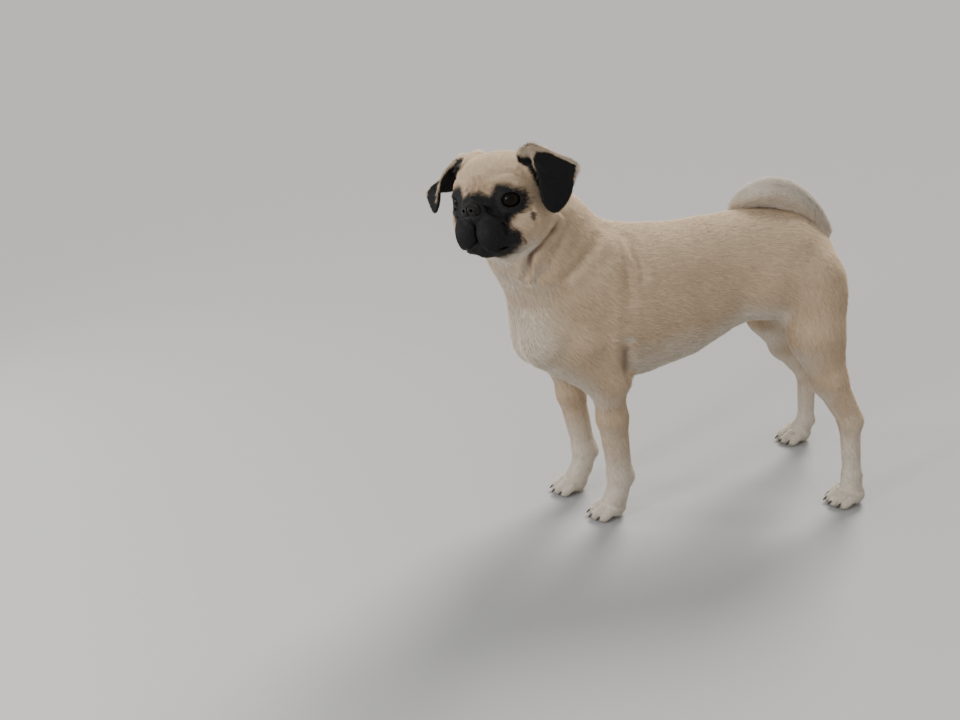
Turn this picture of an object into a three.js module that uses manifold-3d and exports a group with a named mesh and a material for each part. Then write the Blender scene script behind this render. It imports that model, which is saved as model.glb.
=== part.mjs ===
// Standing pug, life size, in millimetres, +Z up. The dog faces -X, its left side is on -Y.
// The flesh is one smooth surface, built from named limbs and muscles, then parted where a
// person would name a part: head, neck, torso, legs, paws and ears.
import * as THREE from 'three'
import { SimplifyModifier } from 'three/addons/modifiers/SimplifyModifier.js'
import Module from 'manifold-3d'

const wasm = await Module()
wasm.setup()
const { Manifold, Mesh: SolidMesh } = wasm

// Sizes that drive the dog
const GAP = 0.3 // clearance between touching parts
const WITHERS = 316 // height of the back over the shoulders
const EYE_RADIUS = 11
const EAR_HALF_THICKNESS = 1.9
const TAIL_RADIUS = 14
const TAIL_ROOT_RADIUS = 11
const FORE_PAW_SIZE = 0.9 // size of a paw against a 36 mm wide one
const HIND_PAW_SIZE = 0.88
const FORE_PAW_CUT = 33 // height at which the paw is parted from its leg
const HIND_PAW_CUT = 31
const FORE_STANCE = 31 // half distance between the front paws
const HIND_STANCE = 69 // half distance between the hind paws
const SIDES = { left: -1, right: 1 }

// Grid steps of the surfaces and the triangle budgets they are thinned to
const HEAD_STEP = 1.7
const BODY_STEP = 3.2
const PAW_STEP = 1.6
const NOSE_STEP = 1.1
const HEAD_TRIANGLES = 5200
const BODY_TRIANGLES = 5200
const PAW_TRIANGLES = 480
const NOSE_TRIANGLES = 420

// Head: its centre in the dog, and how it is turned
const HEAD_CENTRE = [-217, -36, 360]
const HEAD_TURN = THREE.MathUtils.degToRad(48)
const HEAD_LIFT = THREE.MathUtils.degToRad(4)
const HEAD_TILT = THREE.MathUtils.degToRad(6)

// Shapes: each gives a signed distance, below zero inside, and a ball that bounds it

function size3(x, y, z) {
  return Math.sqrt(x * x + y * y + z * z)
}

function apart(x, y, z, centre) {
  return size3(x - centre[0], y - centre[1], z - centre[2])
}

function ellipsoid(centre, radii, blend, turn = 0) {
  const [cx, cy, cz] = centre
  const [a, b, c] = radii
  const cos = Math.cos(turn)
  const sin = Math.sin(turn)
  function distance(x, y, z) {
    const dx = x - cx
    const dy = y - cy
    const dz = z - cz
    const u = dx * cos + dz * sin
    const w = dz * cos - dx * sin
    const k0 = size3(u / a, dy / b, w / c)
    const k1 = size3(u / (a * a), dy / (b * b), w / (c * c))
    return k1 < 1e-9 ? -Math.min(a, b, c) : (k0 * (k0 - 1)) / k1
  }
  return { distance, blend, bound: { centre, radius: Math.max(a, b, c) } }
}

// A limb from one joint to the next, round about its axis, flattened sideways by `flat`
function limb(from, to, radiusFrom, radiusTo, blend, flat = 1) {
  const [ax, ay, az] = from
  const bx = to[0] - ax
  const by = (to[1] - ay) / flat
  const bz = to[2] - az
  const length2 = bx * bx + by * by + bz * bz
  function distance(x, y, z) {
    const px = x - ax
    const py = (y - ay) / flat
    const pz = z - az
    const t = Math.min(1, Math.max(0, (px * bx + py * by + pz * bz) / length2))
    const radius = radiusFrom + (radiusTo - radiusFrom) * t
    return size3(px - bx * t, py - by * t, pz - bz * t) - radius
  }
  const centre = from.map((value, i) => (value + to[i]) / 2)
  const reach = size3(to[0] - ax, to[1] - ay, to[2] - az) / 2
  return { distance, blend, bound: { centre, radius: reach + Math.max(radiusFrom, radiusTo) } }
}

function chain(stations, blend) {
  const limbs = []
  for (let i = 1; i < stations.length; i++) {
    const [from, r0, flat] = stations[i - 1]
    const [to, r1] = stations[i]
    limbs.push(limb(from, to, r0, r1, blend, flat ?? 1))
  }
  return limbs
}

function smoothMin(a, b, k) {
  const h = Math.max(k - Math.abs(a - b), 0) / k
  return Math.min(a, b) - h * h * k * 0.25
}

function smoothMax(a, b, k) {
  return -smoothMin(-a, -b, k)
}

function joinAll(shapes) {
  return function distance(x, y, z) {
    let d = 1e3
    for (const shape of shapes) {
      const { centre, radius } = shape.bound
      const far = apart(x, y, z, centre) - radius * 1.05
      if (far > d + shape.blend) continue
      d = smoothMin(d, shape.distance(x, y, z), shape.blend)
    }
    return d
  }
}

// Turns a point of the dog into the head's own axes: forward, to its left, up
function headAxes() {
  const forward = new THREE.Vector3(-Math.cos(HEAD_TURN), -Math.sin(HEAD_TURN), 0)
  const leftward = new THREE.Vector3(Math.sin(HEAD_TURN), -Math.cos(HEAD_TURN), 0)
  const up = new THREE.Vector3(0, 0, 1)
  const lifted = forward.clone().multiplyScalar(Math.cos(HEAD_LIFT))
  lifted.addScaledVector(up, Math.sin(HEAD_LIFT))
  const crown = up.clone().multiplyScalar(Math.cos(HEAD_LIFT))
  crown.addScaledVector(forward, -Math.sin(HEAD_LIFT))
  const side = leftward.clone().multiplyScalar(Math.cos(HEAD_TILT))
  side.addScaledVector(crown, Math.sin(HEAD_TILT))
  const top = crown.clone().multiplyScalar(Math.cos(HEAD_TILT))
  top.addScaledVector(leftward, -Math.sin(HEAD_TILT))
  return { f: lifted, l: side, u: top }
}

const AXES = headAxes()

function headPoint(f, l, u) {
  const p = new THREE.Vector3(...HEAD_CENTRE)
  p.addScaledVector(AXES.f, f).addScaledVector(AXES.l, l).addScaledVector(AXES.u, u)
  return [p.x, p.y, p.z]
}

function toHead(x, y, z) {
  const dx = x - HEAD_CENTRE[0]
  const dy = y - HEAD_CENTRE[1]
  const dz = z - HEAD_CENTRE[2]
  const along = (v) => dx * v.x + dy * v.y + dz * v.z
  return [along(AXES.f), along(AXES.l), along(AXES.u)]
}

// Torso, from the chest to the rump: place along the dog, height of the back, half height of
// the body there, and its width as a share of its height
const TORSO = [
  { x: -149, back: WITHERS - 16, radius: 62, flat: 0.88 },
  { x: -118, back: WITHERS - 1, radius: 79, flat: 0.8 },
  { x: -80, back: WITHERS - 4, radius: 75, flat: 0.82 },
  { x: -40, back: WITHERS - 6, radius: 68, flat: 0.85 },
  { x: 0, back: WITHERS - 4, radius: 58, flat: 0.88 },
  { x: 38, back: WITHERS - 2, radius: 53, flat: 0.92 },
  { x: 70, back: WITHERS - 6, radius: 52, flat: 0.98 },
  { x: 90, back: WITHERS - 21, radius: 45, flat: 1 },
]

// Neck: from the shoulders up to the back of the skull
const NECK = [
  [[-153, 0, 276], 60],
  [[-174, -5, 307], 51.5],
  [[-196, -17, 340], 45],
]

function torsoShapes() {
  const stations = TORSO.map(({ x, back, radius, flat }) => [[x, 0, back - radius], radius, flat])
  const shapes = chain(stations, 18)
  shapes.push(...chain(NECK, 22))
  shapes.push(ellipsoid([-182, 0, 214], [25, 33, 34], 18, -0.5)) // forechest
  for (const s of [-1, 1]) {
    shapes.push(ellipsoid([-132, s * 40, 262], [26, 24, 50], 20, -0.3)) // shoulder blade
    shapes.push(ellipsoid([100, s * 28, 224], [33, 27, 37], 20)) // buttock
    shapes.push(ellipsoid([52, s * 34, 242], [30, 22, 30], 16)) // flank
  }
  return shapes
}

// Front leg: the middle of the upper arm and the joints down to the paw, by side
const FORELEG = {
  left: {
    arm: [-144, -45, 212],
    elbow: [-122, -45, 168],
    wrist: [-108, -35, 52],
    paw: [-113, -FORE_STANCE],
  },
  right: {
    arm: [-167, 42, 208],
    elbow: [-150, 42, 164],
    wrist: [-131, 34, 50],
    paw: [-142, FORE_STANCE],
  },
}
const ELBOW_RADIUS = 19

function forelegShapes(name) {
  const s = SIDES[name]
  const { arm, elbow, wrist, paw } = FORELEG[name]
  const shoulder = [-176, s * 40, 216]
  const forearm = elbow.map((value, i) => value * 0.62 + wrist[i] * 0.38)
  const pastern = [wrist[0] - 3, wrist[1], 26]
  return [
    limb(shoulder, elbow, 31, ELBOW_RADIUS, 16, 0.9),
    limb(arm, elbow, 27, ELBOW_RADIUS, 14, 0.9),
    limb(elbow, forearm, ELBOW_RADIUS, 16.5, 10, 0.97),
    limb(forearm, wrist, 16.5, 14, 8),
    ellipsoid([wrist[0] + 9, wrist[1], wrist[2] - 3], [7, 7, 7], 6), // wrist pad
    limb(wrist, pastern, 14, 13, 8),
    ...pawShapes(paw, FORE_PAW_SIZE),
  ]
}

// Hind leg: the hip, stifle, hock and paw, by side
const HINDLEG = {
  left: {
    hip: [95, -34, 244],
    stifle: [96, -50, 192],
    hock: [134, -62, 94],
    paw: [141, -HIND_STANCE],
  },
  right: {
    hip: [102, 34, 244],
    stifle: [93, 50, 184],
    hock: [150, 67, 95],
    paw: [153, HIND_STANCE + 8],
  },
}
const SHIN_BOW = 5 // how far the shin bows ahead of the line from the stifle to the hock

function hindlegShapes(name) {
  const s = SIDES[name]
  const { hip, stifle, hock, paw } = HINDLEG[name]
  const shin = stifle.map((value, i) => value * 0.5 + hock[i] * 0.5)
  shin[0] -= SHIN_BOW
  const pastern = [hock[0] + 6, (hock[1] + paw[1]) / 2, 30]
  return [
    limb(hip, stifle, 33, 26, 14, 0.88),
    limb([99, s * 34, 224], [shin[0] + 2, shin[1], shin[2] + 8], 29, 13, 14, 0.85),
    limb(stifle, shin, 26, 17, 12, 0.85),
    limb(shin, hock, 17, 11.5, 10, 0.9),
    limb([shin[0] + 6, shin[1], shin[2]], [hock[0] + 6, hock[1], hock[2] + 3], 10, 7.5, 9),
    limb(hock, pastern, 11.5, 10, 8),
    limb(pastern, [paw[0] - 4, paw[1], 16], 10, 10, 8),
    ...pawShapes(paw, HIND_PAW_SIZE),
  ]
}

// A paw: a low pad and four toes, the two middle ones ahead; its sole is cut flat at the floor
const TOES = [
  { ahead: 18, aside: -14.6, root: -1, radius: 7.3 },
  { ahead: 25, aside: -5.6, root: 3, radius: 7.7 },
  { ahead: 25, aside: 5.6, root: 3, radius: 7.7 },
  { ahead: 18, aside: 14.6, root: -1, radius: 7.3 },
]
const TOE_BLEND = 1.8
const TOE_TIP_HEIGHT = 6.3

function pawShapes([px, py], size) {
  const shapes = [ellipsoid([px + 3, py, 11], [15 * size, 15 * size, 14 * size], 5)]
  for (const toe of TOES) {
    const radius = toe.radius * size
    const bend = (toe.root + toe.ahead * 0.45) * size
    const root = [px - toe.root * size, py + toe.aside * 0.7 * size, 12]
    const knuckle = [px - bend, py + toe.aside * 0.9 * size, 12.2]
    const tip = [px - toe.ahead * size, py + toe.aside * size, TOE_TIP_HEIGHT * size]
    shapes.push(limb(root, knuckle, radius, radius, TOE_BLEND))
    shapes.push(limb(knuckle, tip, radius, radius * 0.94, TOE_BLEND))
  }
  return shapes
}

// Head shapes in the head's own axes: forward, to its left, up
function headShapes() {
  const shapes = [
    ellipsoid([-8, 0, 8], [46, 46, 38], 12), // skull
    ellipsoid([8, 0, 16], [26, 32, 26], 10), // forehead
    ellipsoid([35.5, 0, -5], [15, 15, 13], 7), // bridge of the nose
    ellipsoid([30, 0, -36], [13, 12.5, 11], 5), // chin
    limb([2, 0, -26], [-30, 0, -20], 26, 40, 14), // throat
  ]
  for (const s of [-1, 1]) {
    shapes.push(ellipsoid([-2, s * 27, -15], [31, 23, 28], 12)) // cheek
    shapes.push(ellipsoid([15, s * 22, -29], [20, 15.5, 15.5], 9)) // jowl
    shapes.push(ellipsoid([15, s * 21, 15], [15, 14, 12], 8)) // brow
    shapes.push(ellipsoid([-14, s * 37, 30], [23, 13, 17], 9)) // root of the ear
    shapes.push(ellipsoid([33.5, s * 12, -23], [17, 15, 20], 4)) // lip pad
    const fold = [[37, 0, 10], [34, s * 12, 4], [27, s * 25, -10]]
    shapes.push(limb(fold[0], fold[1], 4.2, 4.6, 4)) // fold over the nose
    shapes.push(limb(fold[1], fold[2], 4.6, 3.4, 4))
  }
  return shapes
}

// An eye: its centre and the way it looks, in the head's axes
function eyeFrame(side) {
  const centre = new THREE.Vector3(20.5, side * 25.5, 4.5)
  const gaze = new THREE.Vector3(0.86, side * 0.5, 0.06).normalize()
  const across = new THREE.Vector3(0, 0, 1).cross(gaze).normalize()
  const above = gaze.clone().cross(across)
  return { side, centre, gaze, across, above }
}

const LID_HALF_WIDTH = 7.9
const LID_HALF_HEIGHT = 5.9
const LID_MIDDLE = { outward: 0.8, up: -1.2 } // the middle of the opening, from the gaze
const LID_THICKNESS = 2.6
const LID_BACK = 4 // the opening starts this far ahead of the middle of the eye

// Lids: a shell round the eyeball, open in an oval towards the front
function lidDistances(eye, f, l, u) {
  const p = new THREE.Vector3(f, l, u).sub(eye.centre)
  const depth = p.dot(eye.gaze)
  const outward = eye.side * p.dot(eye.across) - LID_MIDDLE.outward
  const up = p.dot(eye.above) - LID_MIDDLE.up
  const oval = Math.hypot(outward / LID_HALF_WIDTH, up / LID_HALF_HEIGHT)
  const opening = Math.max((oval - 1) * LID_HALF_HEIGHT, LID_BACK - depth)
  const shell = p.length() - EYE_RADIUS - LID_THICKNESS
  return { shell, opening }
}

// A groove of a half width and depth along a sheet, near the surface only
function groove(d, sheet, halfWidth, depth) {
  return smoothMax(d, -Math.max(Math.abs(sheet) - halfWidth, -d - depth), 1.2)
}

// Height of the line of the mouth over its sideways place
const MOUTH_MIDDLE = -29
const MOUTH_DROP = 9
const MOUTH_HALF_WIDTH = 31
const MOUTH_DEPTH = 1.7
const LIP_CLEFT_DEPTH = 1.8
const FACE = { back: 12, lips: 34, underNose: -8 } // where the mouth and the lip's cleft lie

function mouthHeight(l) {
  const t = Math.min(1, Math.abs(l) / MOUTH_HALF_WIDTH)
  return MOUTH_MIDDLE - MOUTH_DROP * Math.sin(t * Math.PI * 0.86)
}

// An ear: a folded sheet, as a rise from the skull to the crest and a flap that hangs from it.
// Points are in the head's axes, with the sideways value mirrored by the side.
const EARS = {
  left: {
    rise: [[14, 36, 37], [9, 43, 48], [-4, 58, 39], [-17, 74, 28], [-30, 60, 22], [-34, 40, 24]],
    flap: [
      [10, 45, 48], [-3, 58, 39], [-17, 74, 27], [-14, 71, 14], [-10, 69, 2], [-2, 65, -7],
      [7, 61, -10], [13, 57, -3], [14, 55, 10], [14, 54, 26], [12, 47, 40],
    ],
  },
  right: {
    rise: [
      [12, 36, 35], [-10, 44, 43], [0, 63, 26], [4, 78, 16], [-14, 62, 14], [-31, 40, 24],
      [-26, 36, 44],
    ],
    flap: [
      [-8, 47, 42], [0, 63, 26], [5, 80, 15], [7, 78, 4], [12, 70, -3.5], [16, 64, -1],
      [16, 60, 7], [14, 58, 20], [8, 51, 34],
    ],
  },
}

const RISE_BULGE = 1
const FLAP_BULGE = 3
const EAR_BLEND = 3.5

// Distance from a point to a triangle, with its edges and normal worked out once
function triangleDistance(corners) {
  const [a, b, c] = corners.map((v) => v.toArray())
  const minus = (p, q) => [p[0] - q[0], p[1] - q[1], p[2] - q[2]]
  const dot = (p, q) => p[0] * q[0] + p[1] * q[1] + p[2] * q[2]
  const cross = (p, q) => [
    p[1] * q[2] - p[2] * q[1],
    p[2] * q[0] - p[0] * q[2],
    p[0] * q[1] - p[1] * q[0],
  ]
  const edges = [minus(b, a), minus(c, b), minus(a, c)]
  const starts = [a, b, c]
  const normal = cross(edges[0], minus(c, a))
  const inward = edges.map((edge) => cross(normal, edge))
  const lengths = edges.map((edge) => dot(edge, edge))
  const size = dot(normal, normal)
  return function distance(f, l, u) {
    let inside = true
    let best = 1e9
    let height = 0
    for (let i = 0; i < 3; i++) {
      const px = f - starts[i][0]
      const py = l - starts[i][1]
      const pz = u - starts[i][2]
      const [ex, ey, ez] = edges[i]
      const n = inward[i]
      if (n[0] * px + n[1] * py + n[2] * pz < 0) inside = false
      const t = Math.min(1, Math.max(0, (px * ex + py * ey + pz * ez) / lengths[i]))
      const dx = px - ex * t
      const dy = py - ey * t
      const dz = pz - ez * t
      best = Math.min(best, dx * dx + dy * dy + dz * dz)
      height = normal[0] * px + normal[1] * py + normal[2] * pz
    }
    return Math.sqrt(inside ? (height * height) / size : best)
  }
}

// A sheet is a fan of triangles round a centre that bulges out, so it is softly cupped
function sheetTriangles(points, side, bulge) {
  const rim = new THREE.CatmullRomCurve3(
    points.map(([f, l, u]) => new THREE.Vector3(f, -side * l, u)), true, 'centripetal',
  ).getPoints(points.length * 2).slice(0, -1)
  const middle = rim.reduce((sum, p) => sum.add(p), new THREE.Vector3())
  middle.multiplyScalar(1 / rim.length)
  middle.y += -side * bulge
  return rim.map((p, i) => [p, rim[(i + 1) % rim.length], middle])
}

function earDistance(name) {
  const side = SIDES[name]
  const triangles = [
    ...sheetTriangles(EARS[name].rise, side, RISE_BULGE),
    ...sheetTriangles(EARS[name].flap, side, FLAP_BULGE),
  ].map(triangleDistance)
  return function distance(f, l, u) {
    const far = size3(f + 5, l + side * 58, u - 18) - 46
    if (far > 8) return far
    let d = 1e3
    for (const triangle of triangles) d = Math.min(d, triangle(f, l, u))
    return d - EAR_HALF_THICKNESS
  }
}

function headField() {
  const flesh = joinAll(headShapes())
  const ears = Object.keys(SIDES).map(earDistance)
  const eyes = [eyeFrame(-1), eyeFrame(1)]
  return function distance(x, y, z) {
    const [f, l, u] = toHead(x, y, z)
    let d = flesh(f, l, u)
    for (const eye of eyes) {
      const { shell, opening } = lidDistances(eye, f, l, u)
      if (shell > 12) continue
      d = smoothMin(d, shell, 4)
      d = smoothMax(d, -opening, 1.5)
    }
    if (f > FACE.back && Math.abs(d) < 6) {
      const fade = 1 - (l / MOUTH_HALF_WIDTH) ** 4
      if (fade > 0) d = groove(d, u - mouthHeight(l), 1.9, MOUTH_DEPTH * fade)
      const cleft = f > FACE.lips && u < FACE.underNose && u > MOUTH_MIDDLE
      if (cleft) d = groove(d, l, 0.9, LIP_CLEFT_DEPTH)
    }
    for (const ear of ears) d = smoothMin(d, ear(f, l, u), EAR_BLEND)
    return d
  }
}

function noseField() {
  const leather = joinAll([
    ellipsoid([47.8, 0, -0.2], [7.6, 7.4, 6.8], 3),
    ellipsoid([47.4, -4.6, -1.6], [6.4, 4.8, 5.2], 3),
    ellipsoid([47.4, 4.6, -1.6], [6.4, 4.8, 5.2], 3),
  ])
  const nostrils = [-1, 1].map((s) => limb([57, s * 3.4, -0.6], [52, s * 7.6, -2.4], 1.8, 1.1, 1))
  return function distance(x, y, z) {
    const [f, l, u] = toHead(x, y, z)
    let d = leather(f, l, u)
    for (const hole of nostrils) d = smoothMax(d, -hole.distance(f, l, u), 0.8)
    return d
  }
}

function bodyField() {
  const shapes = torsoShapes()
  for (const name of Object.keys(SIDES)) {
    shapes.push(...forelegShapes(name), ...hindlegShapes(name))
  }
  return joinAll(shapes)
}

// How far the head's shapes reach from its centre, and how softly it joins the neck
const HEAD_REACH = 130
const NECK_BLEND = 9

// The whole flesh: the body and the head, smoothly joined at the neck
const bodyDistance = bodyField()
const headDistance = headField()

function fleshDistance(x, y, z) {
  const body = bodyDistance(x, y, z)
  const near = apart(x, y, z, HEAD_CENTRE) < HEAD_REACH
  return near ? smoothMin(body, headDistance(x, y, z), NECK_BLEND) : body
}

function slope(field, x, y, z, e) {
  const gx = field(x + e, y, z) - field(x - e, y, z)
  const gy = field(x, y + e, z) - field(x, y - e, z)
  const gz = field(x, y, z + e) - field(x, y, z - e)
  return [gx / (2 * e), gy / (2 * e), gz / (2 * e)]
}

// Blocks of the grid whose centre is far from the surface are not looked into
const BLOCK = 4
const BLOCK_MARGIN = 1.5

// Each cell of the grid is split into six tetrahedra that share its long diagonal, as the
// corners passed on the way from its low corner to its high one
const CELL_PATHS = [[0, 1, 2], [0, 2, 1], [1, 0, 2], [1, 2, 0], [2, 0, 1], [2, 1, 0]]

// Meshes the surface of a field inside a box, closed and without double edges
function surface(field, low, high, step) {
  const [nx, ny, nz] = low.map((value, i) => Math.ceil((high[i] - value) / step) + 1)
  const values = new Float32Array(nx * ny * nz)
  const strides = [1, nx, nx * ny]
  const valueAt = (i, j, k) => field(low[0] + i * step, low[1] + j * step, low[2] + k * step)
  const last = (i, count) => i === 0 || i === count - 1
  for (let k0 = 0; k0 < nz; k0 += BLOCK) {
    for (let j0 = 0; j0 < ny; j0 += BLOCK) {
      for (let i0 = 0; i0 < nx; i0 += BLOCK) {
        const centre = valueAt(i0 + BLOCK / 2, j0 + BLOCK / 2, k0 + BLOCK / 2)
        const clear = Math.abs(centre) > BLOCK * step * BLOCK_MARGIN
        for (let k = k0; k < Math.min(nz, k0 + BLOCK); k++) {
          for (let j = j0; j < Math.min(ny, j0 + BLOCK); j++) {
            for (let i = i0; i < Math.min(nx, i0 + BLOCK); i++) {
              const d = clear ? centre : valueAt(i, j, k)
              const rim = last(i, nx) || last(j, ny) || last(k, nz)
              values[i + nx * (j + ny * k)] = rim ? Math.max(d, step * 0.5) : d
            }
          }
        }
      }
    }
  }
  const points = []
  const faces = []
  const known = new Map()
  function place(n) {
    const i = n % nx
    const j = Math.floor(n / nx) % ny
    return [low[0] + i * step, low[1] + j * step, low[2] + Math.floor(n / strides[2]) * step]
  }
  function edgePoint(a, b) {
    const key = Math.min(a, b) * 8 + edgeKind(Math.abs(b - a), strides)
    if (known.has(key)) return known.get(key)
    const t = Math.min(0.98, Math.max(0.02, values[a] / (values[a] - values[b])))
    const p = place(a)
    const q = place(b)
    known.set(key, points.length / 3)
    for (let c = 0; c < 3; c++) points.push(p[c] + (q[c] - p[c]) * t)
    return known.get(key)
  }
  for (let k = 0; k < nz - 1; k++) {
    for (let j = 0; j < ny - 1; j++) {
      for (let i = 0; i < nx - 1; i++) {
        const n = i + nx * (j + ny * k)
        if (!mixedCell(values, n, strides)) continue
        CELL_PATHS.forEach((path, index) => {
          const corners = [n]
          for (const axis of path) corners.push(corners.at(-1) + strides[axis])
          const even = index === 0 || index === 3 || index === 4
          splitCell(corners, values, even, edgePoint, faces)
        })
      }
    }
  }
  return indexed(points, faces)
}

function edgeKind(offset, [sx, sy, sz]) {
  let rest = offset
  let kind = 0
  for (const [bit, stride] of [[4, sz], [2, sy], [1, sx]]) {
    if (rest >= stride) {
      rest -= stride
      kind += bit
    }
  }
  return kind
}

function mixedCell(values, n, [sx, sy, sz]) {
  const low = values[n] < 0
  for (let c = 1; c < 8; c++) {
    const at = n + (c & 1 ? sx : 0) + (c & 2 ? sy : 0) + (c & 4 ? sz : 0)
    if (values[at] < 0 !== low) return true
  }
  return false
}

// One or two triangles where the surface passes through a tetrahedron
function splitCell(corners, values, even, edgePoint, faces) {
  const inner = [0, 1, 2, 3].filter((c) => values[corners[c]] < 0)
  if (inner.length === 0 || inner.length === 4) return
  const outer = [0, 1, 2, 3].filter((c) => !inner.includes(c))
  const order = [...inner, ...outer]
  const pairs = [[0, 1], [0, 2], [0, 3], [1, 2], [1, 3], [2, 3]]
  const swaps = pairs.filter(([a, b]) => order[a] > order[b]).length
  const flip = (swaps % 2 === 0) !== even
  const v = (a, b) => edgePoint(corners[order[a]], corners[order[b]])
  const emit = (a, b, c) => (flip ? faces.push(a, c, b) : faces.push(a, b, c))
  if (inner.length === 1) emit(v(0, 1), v(0, 2), v(0, 3))
  if (inner.length === 3) emit(v(0, 3), v(1, 3), v(2, 3))
  if (inner.length === 2) {
    const ring = [v(0, 2), v(0, 3), v(1, 3), v(1, 2)]
    emit(ring[0], ring[1], ring[2])
    emit(ring[0], ring[2], ring[3])
  }
}

function indexed(points, faces) {
  const geometry = new THREE.BufferGeometry()
  geometry.setAttribute('position', new THREE.BufferAttribute(new Float32Array(points), 3))
  geometry.setIndex(new THREE.BufferAttribute(new Uint32Array(faces), 1))
  return geometry
}

// Moves the points of a thinned surface back onto the field, in short steps
function settle(geometry, field, low, high, step) {
  const points = geometry.attributes.position.array
  for (let p = 0; p < points.length; p += 3) {
    for (let pass = 0; pass < 2; pass++) {
      const [x, y, z] = [points[p], points[p + 1], points[p + 2]]
      const inside = [x, y, z].every((v, c) => v > low[c] + step * 1.5 && v < high[c] - step * 1.5)
      if (!inside) break
      const g = slope(field, x, y, z, step * 0.2)
      const g2 = g[0] * g[0] + g[1] * g[1] + g[2] * g[2]
      if (g2 < 0.05) break
      const move = field(x, y, z) / g2
      const limit = Math.min(1, (step * 0.4) / (Math.abs(move) * Math.sqrt(g2) + 1e-9))
      for (let c = 0; c < 3; c++) points[p + c] -= g[c] * move * limit
    }
  }
  return geometry
}

// The surface of a field in a box, thinned to a number of triangles
async function thinned(field, low, high, step, triangles) {
  const fine = surface(field, low, high, step)
  const points = fine.attributes.position.count
  const drop = Math.max(0, Math.floor(points * (1 - (triangles * 3) / fine.index.count)))
  const light = await new SimplifyModifier().modify(fine, drop)
  return settle(light, field, low, high, step)
}

// Solids

function solid(geometry) {
  const mesh = new SolidMesh({
    numProp: 3,
    vertProperties: new Float32Array(geometry.attributes.position.array),
    triVerts: new Uint32Array(geometry.index.array),
  })
  return new Manifold(mesh)
}

// A copy of a round body, larger by a margin about its centre
function grown(geometry, centre, extra, radius) {
  const copy = geometry.clone()
  const factor = 1 + extra / radius
  copy.translate(-centre[0], -centre[1], -centre[2])
  copy.scale(factor, factor, factor)
  copy.translate(...centre)
  return solid(copy)
}

function welded(geometry) {
  const position = geometry.attributes.position
  const index = geometry.index
  const keys = new Map()
  const points = []
  const remap = []
  for (let i = 0; i < position.count; i++) {
    const p = [position.getX(i), position.getY(i), position.getZ(i)]
    const key = p.map((v) => Math.round(v * 1e4)).join()
    if (!keys.has(key)) {
      keys.set(key, points.length / 3)
      points.push(...p)
    }
    remap.push(keys.get(key))
  }
  const faces = []
  for (let i = 0; i < index.count; i += 3) {
    const t = [0, 1, 2].map((c) => remap[index.getX(i + c)])
    if (t[0] !== t[1] && t[1] !== t[2] && t[2] !== t[0]) faces.push(...t)
  }
  const out = new THREE.BufferGeometry()
  out.setAttribute('position', new THREE.BufferAttribute(new Float32Array(points), 3))
  out.setIndex(faces)
  return out
}

// The space on one side of a plane, as a large box whose face lies on the plane
const REACH = 600

function halfSpace(point, normal, grow = 0) {
  const n = new THREE.Vector3(...normal).normalize()
  const box = new THREE.BoxGeometry(REACH, REACH, REACH)
  box.translate(0, 0, REACH / 2)
  const turn = new THREE.Quaternion().setFromUnitVectors(new THREE.Vector3(0, 0, 1), n)
  box.applyQuaternion(turn)
  box.translate(point[0] - n.x * grow, point[1] - n.y * grow, point[2] - n.z * grow)
  return solid(welded(box))
}

function cutter(planes, grow = 0) {
  return planes
    .map(([point, normal]) => halfSpace(point, normal, grow))
    .reduce((all, one) => all.intersect(one))
}

// Takes what a set of planes bounds off a body, and leaves the clearance on the rest
function part(body, planes) {
  const piece = body.intersect(cutter(planes))
  const rest = body.subtract(cutter(planes, GAP))
  return [piece, rest]
}

// Keeps the largest closed piece
function largest(body) {
  const pieces = body.decompose()
  return pieces.reduce((best, piece) => (piece.volume() > best.volume() ? piece : best))
}

function toGeometry(body) {
  const mesh = body.getMesh()
  const geometry = new THREE.BufferGeometry()
  const step = mesh.numProp
  const count = mesh.vertProperties.length / step
  const points = new Float32Array(count * 3)
  for (let i = 0; i < count; i++) {
    for (let c = 0; c < 3; c++) points[i * 3 + c] = mesh.vertProperties[i * step + c]
  }
  geometry.setAttribute('position', new THREE.BufferAttribute(points, 3))
  geometry.setIndex(new THREE.BufferAttribute(new Uint32Array(mesh.triVerts), 1))
  return geometry
}

// A tube along a curve, closed at both ends, its radius given along its length. The middle of
// each end stands out by a share of the radius there.
const END_CROWN = 0.35

function tube(curve, radiusAt, rings, sides) {
  const frames = curve.computeFrenetFrames(rings, false)
  const points = []
  const faces = []
  const start = curve.getPointAt(0)
  const end = curve.getPointAt(1)
  for (let i = 0; i <= rings; i++) {
    const t = i / rings
    const centre = curve.getPointAt(t)
    const r = radiusAt(t)
    for (let j = 0; j < sides; j++) {
      const a = (j / sides) * Math.PI * 2
      const p = centre.clone()
      p.addScaledVector(frames.normals[i], Math.cos(a) * r)
      p.addScaledVector(frames.binormals[i], Math.sin(a) * r)
      points.push(p.x, p.y, p.z)
    }
  }
  for (let i = 0; i < rings; i++) {
    for (let j = 0; j < sides; j++) {
      const a = i * sides + j
      const b = i * sides + ((j + 1) % sides)
      faces.push(a, b, b + sides, a, b + sides, a + sides)
    }
  }
  const first = points.length / 3
  start.addScaledVector(frames.tangents[0], -radiusAt(0) * END_CROWN)
  end.addScaledVector(frames.tangents[rings], radiusAt(1) * END_CROWN)
  points.push(start.x, start.y, start.z, end.x, end.y, end.z)
  for (let j = 0; j < sides; j++) {
    const next = (j + 1) % sides
    faces.push(first, next, j)
    faces.push(first + 1, rings * sides + j, rings * sides + next)
  }
  const geometry = new THREE.BufferGeometry()
  geometry.setAttribute('position', new THREE.BufferAttribute(new Float32Array(points), 3))
  geometry.setIndex(faces)
  return geometry
}

// Tail: leaves the end of the croup, arches forward over the back and curls down on the far side
const TAIL_PATH = [
  [110, 2, 264], [118, 2, 283], [111, 2, 299], [97, 3, 315], [80, 5, 327], [62, 9, 331],
  [47, 18, 325], [42, 32, 313], [50, 46, 302],
]

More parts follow.
